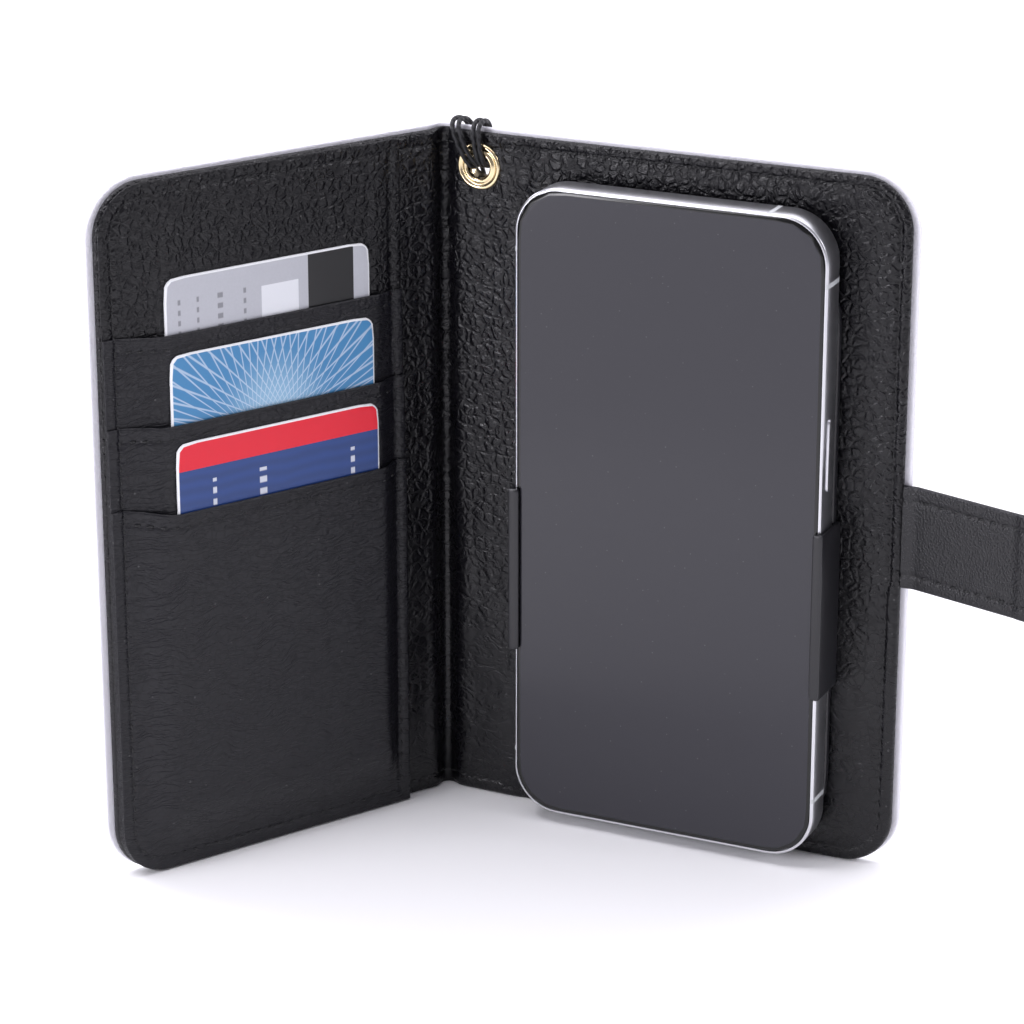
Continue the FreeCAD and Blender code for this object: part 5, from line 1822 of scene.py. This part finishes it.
@dataclass
class Hidden:
    """The CAD pieces that keep their own shape, inside the leather and the phone."""

    finishes: tuple[tuple[Plastic | Metal, str, tuple[str, ...]], ...] = (
        (BOARD_FINISH, "stiffening_board",
         ("back_board", "spine_board", "front_board", "tab_stiffener")),
        (MAGNET_FINISH, "magnet_steel", ("cover_magnet", "tab_magnet")),
        (TAPE_FINISH, "adhesive", ("holder_tape",)),
        (CORE_FINISH, "phone_inside", ("phone_core",)),
    )

    def build(self) -> None:
        """Gives each piece its finish."""
        for finish, slot, nodes in self.finishes:
            material = finish.material()
            for node in nodes:
                dress(bpy.data.objects[node], material)


@dataclass(frozen=True)
class Panel:
    """One softbox."""

    name: str
    where: Triple
    at: Triple
    size: Point
    power: float
    colour: Colour = (0.98, 0.965, 1.03)


@dataclass
class Studio:
    """The floor, the lights and the camera."""

    lens: float = 130.88
    tilt: float = 70.343
    camera_at: Triple = (6.11, -824.86, 366.03)
    floor_half: float = 4.0
    floor_tone: float = 0.97
    world: float = 0.31
    world_tone: Colour = (0.96, 0.94, 1.04)
    sensor: float = 36.0
    near: float = 0.01
    far: float = 50.0
    lights: tuple[Panel, ...] = (
        Panel("left_softbox", (-1.05, -0.85, 0.55), (0.03, 0.0, 0.09), (0.35, 0.55), 5.0),
        Panel("right_softbox", (1.25, -0.45, 0.75), (-0.03, 0.0, 0.1), (0.3, 0.55), 4.0),
        Panel("top_softbox", (0.0, 0.45, 1.6), (0.0, 0.35, 0.0), (2.6, 2.2), 34.0),
        Panel("high_left_softbox", (-0.6, -0.35, 1.3), (0.0, 0.0, 0.1), (0.4, 0.4), 5.0),
        Panel("near_left_lamp", (-0.23, -0.22, 0.135), (0.03, -0.01, 0.15), (0.06, 0.06), 0.13),
        Panel("rim_left", (-1.1, 0.75, 0.55), (0.0, 0.0, 0.08), (0.6, 0.8), 12.0),
        Panel("rim_right", (1.1, 0.8, 0.55), (0.0, 0.0, 0.08), (0.6, 0.8), 6.0),
    )

    def build(self) -> None:
        """Builds everything that isn't the object."""
        scene = bpy.context.scene
        scene.view_settings.view_transform = "Standard"
        scene.view_settings.look = "None"
        world = bpy.data.worlds.new("Pale studio")
        world.use_nodes = True
        background = world.node_tree.nodes["Background"]
        background.inputs["Color"].default_value = rgba(self.world_tone)
        background.inputs["Strength"].default_value = self.world
        scene.world = world
        self.build_floor()
        for light in self.lights:
            self.build_light(light)
        self.build_camera()

    def build_floor(self) -> None:
        """Builds a pale floor that reaches past the view."""
        h = self.floor_half
        mesh = bpy.data.meshes.new("studio_floor")
        mesh.from_pydata([(-h, -h, 0), (h, -h, 0), (h, h, 0), (-h, h, 0)], [], [(0, 1, 2, 3)])
        material, w, shader = new_material("Pale floor", Roughness=0.7,
                                           Specular_IOR_Level=0.2)
        place = w.node("TexCoord").outputs["Object"]
        grey = (self.floor_tone,) * 3
        uneven = w.node("TexNoise", Vector=place, Scale=3.0).outputs[0]
        w.feed(shader, Base_Color=w.mix(uneven, rgba(grey), rgba(grey, 0.99)))
        mesh.materials.append(material)
        link("studio_floor", mesh)

    def build_light(self, panel: Panel) -> None:
        """Builds one softbox, aimed at its point."""
        data = bpy.data.lights.new(panel.name, "AREA")
        data.shape = "RECTANGLE"
        data.size, data.size_y = panel.size
        data.energy = panel.power
        data.color = panel.colour
        lamp = link(panel.name, data)
        lamp.location = panel.where
        aim = Vector(panel.at) - Vector(panel.where)
        lamp.rotation_euler = aim.to_track_quat("-Z", "Y").to_euler()

    def build_camera(self) -> None:
        """Builds the camera at the usual viewing angle."""
        data = bpy.data.cameras.new("main_camera")
        data.lens = self.lens
        data.sensor_width = self.sensor
        data.clip_start, data.clip_end = self.near, self.far
        camera = link("main_camera", data)
        camera.location = Vector(self.camera_at) * MM
        camera.rotation_euler = (math.radians(self.tilt), 0.0, 0.0)
        bpy.context.scene.camera = camera


def main() -> None:
    """Builds the case, the phone, the cards and the studio."""
    logging.basicConfig(level=logging.INFO)
    for part in (Covers(), FrontPockets(), Eyelet(), Holder(), Phone(), Strap(), Hidden(),
                 Studio()):
        log.info("building %s", type(part).__name__)
        part.build()


if __name__ == "__main__":
    main()
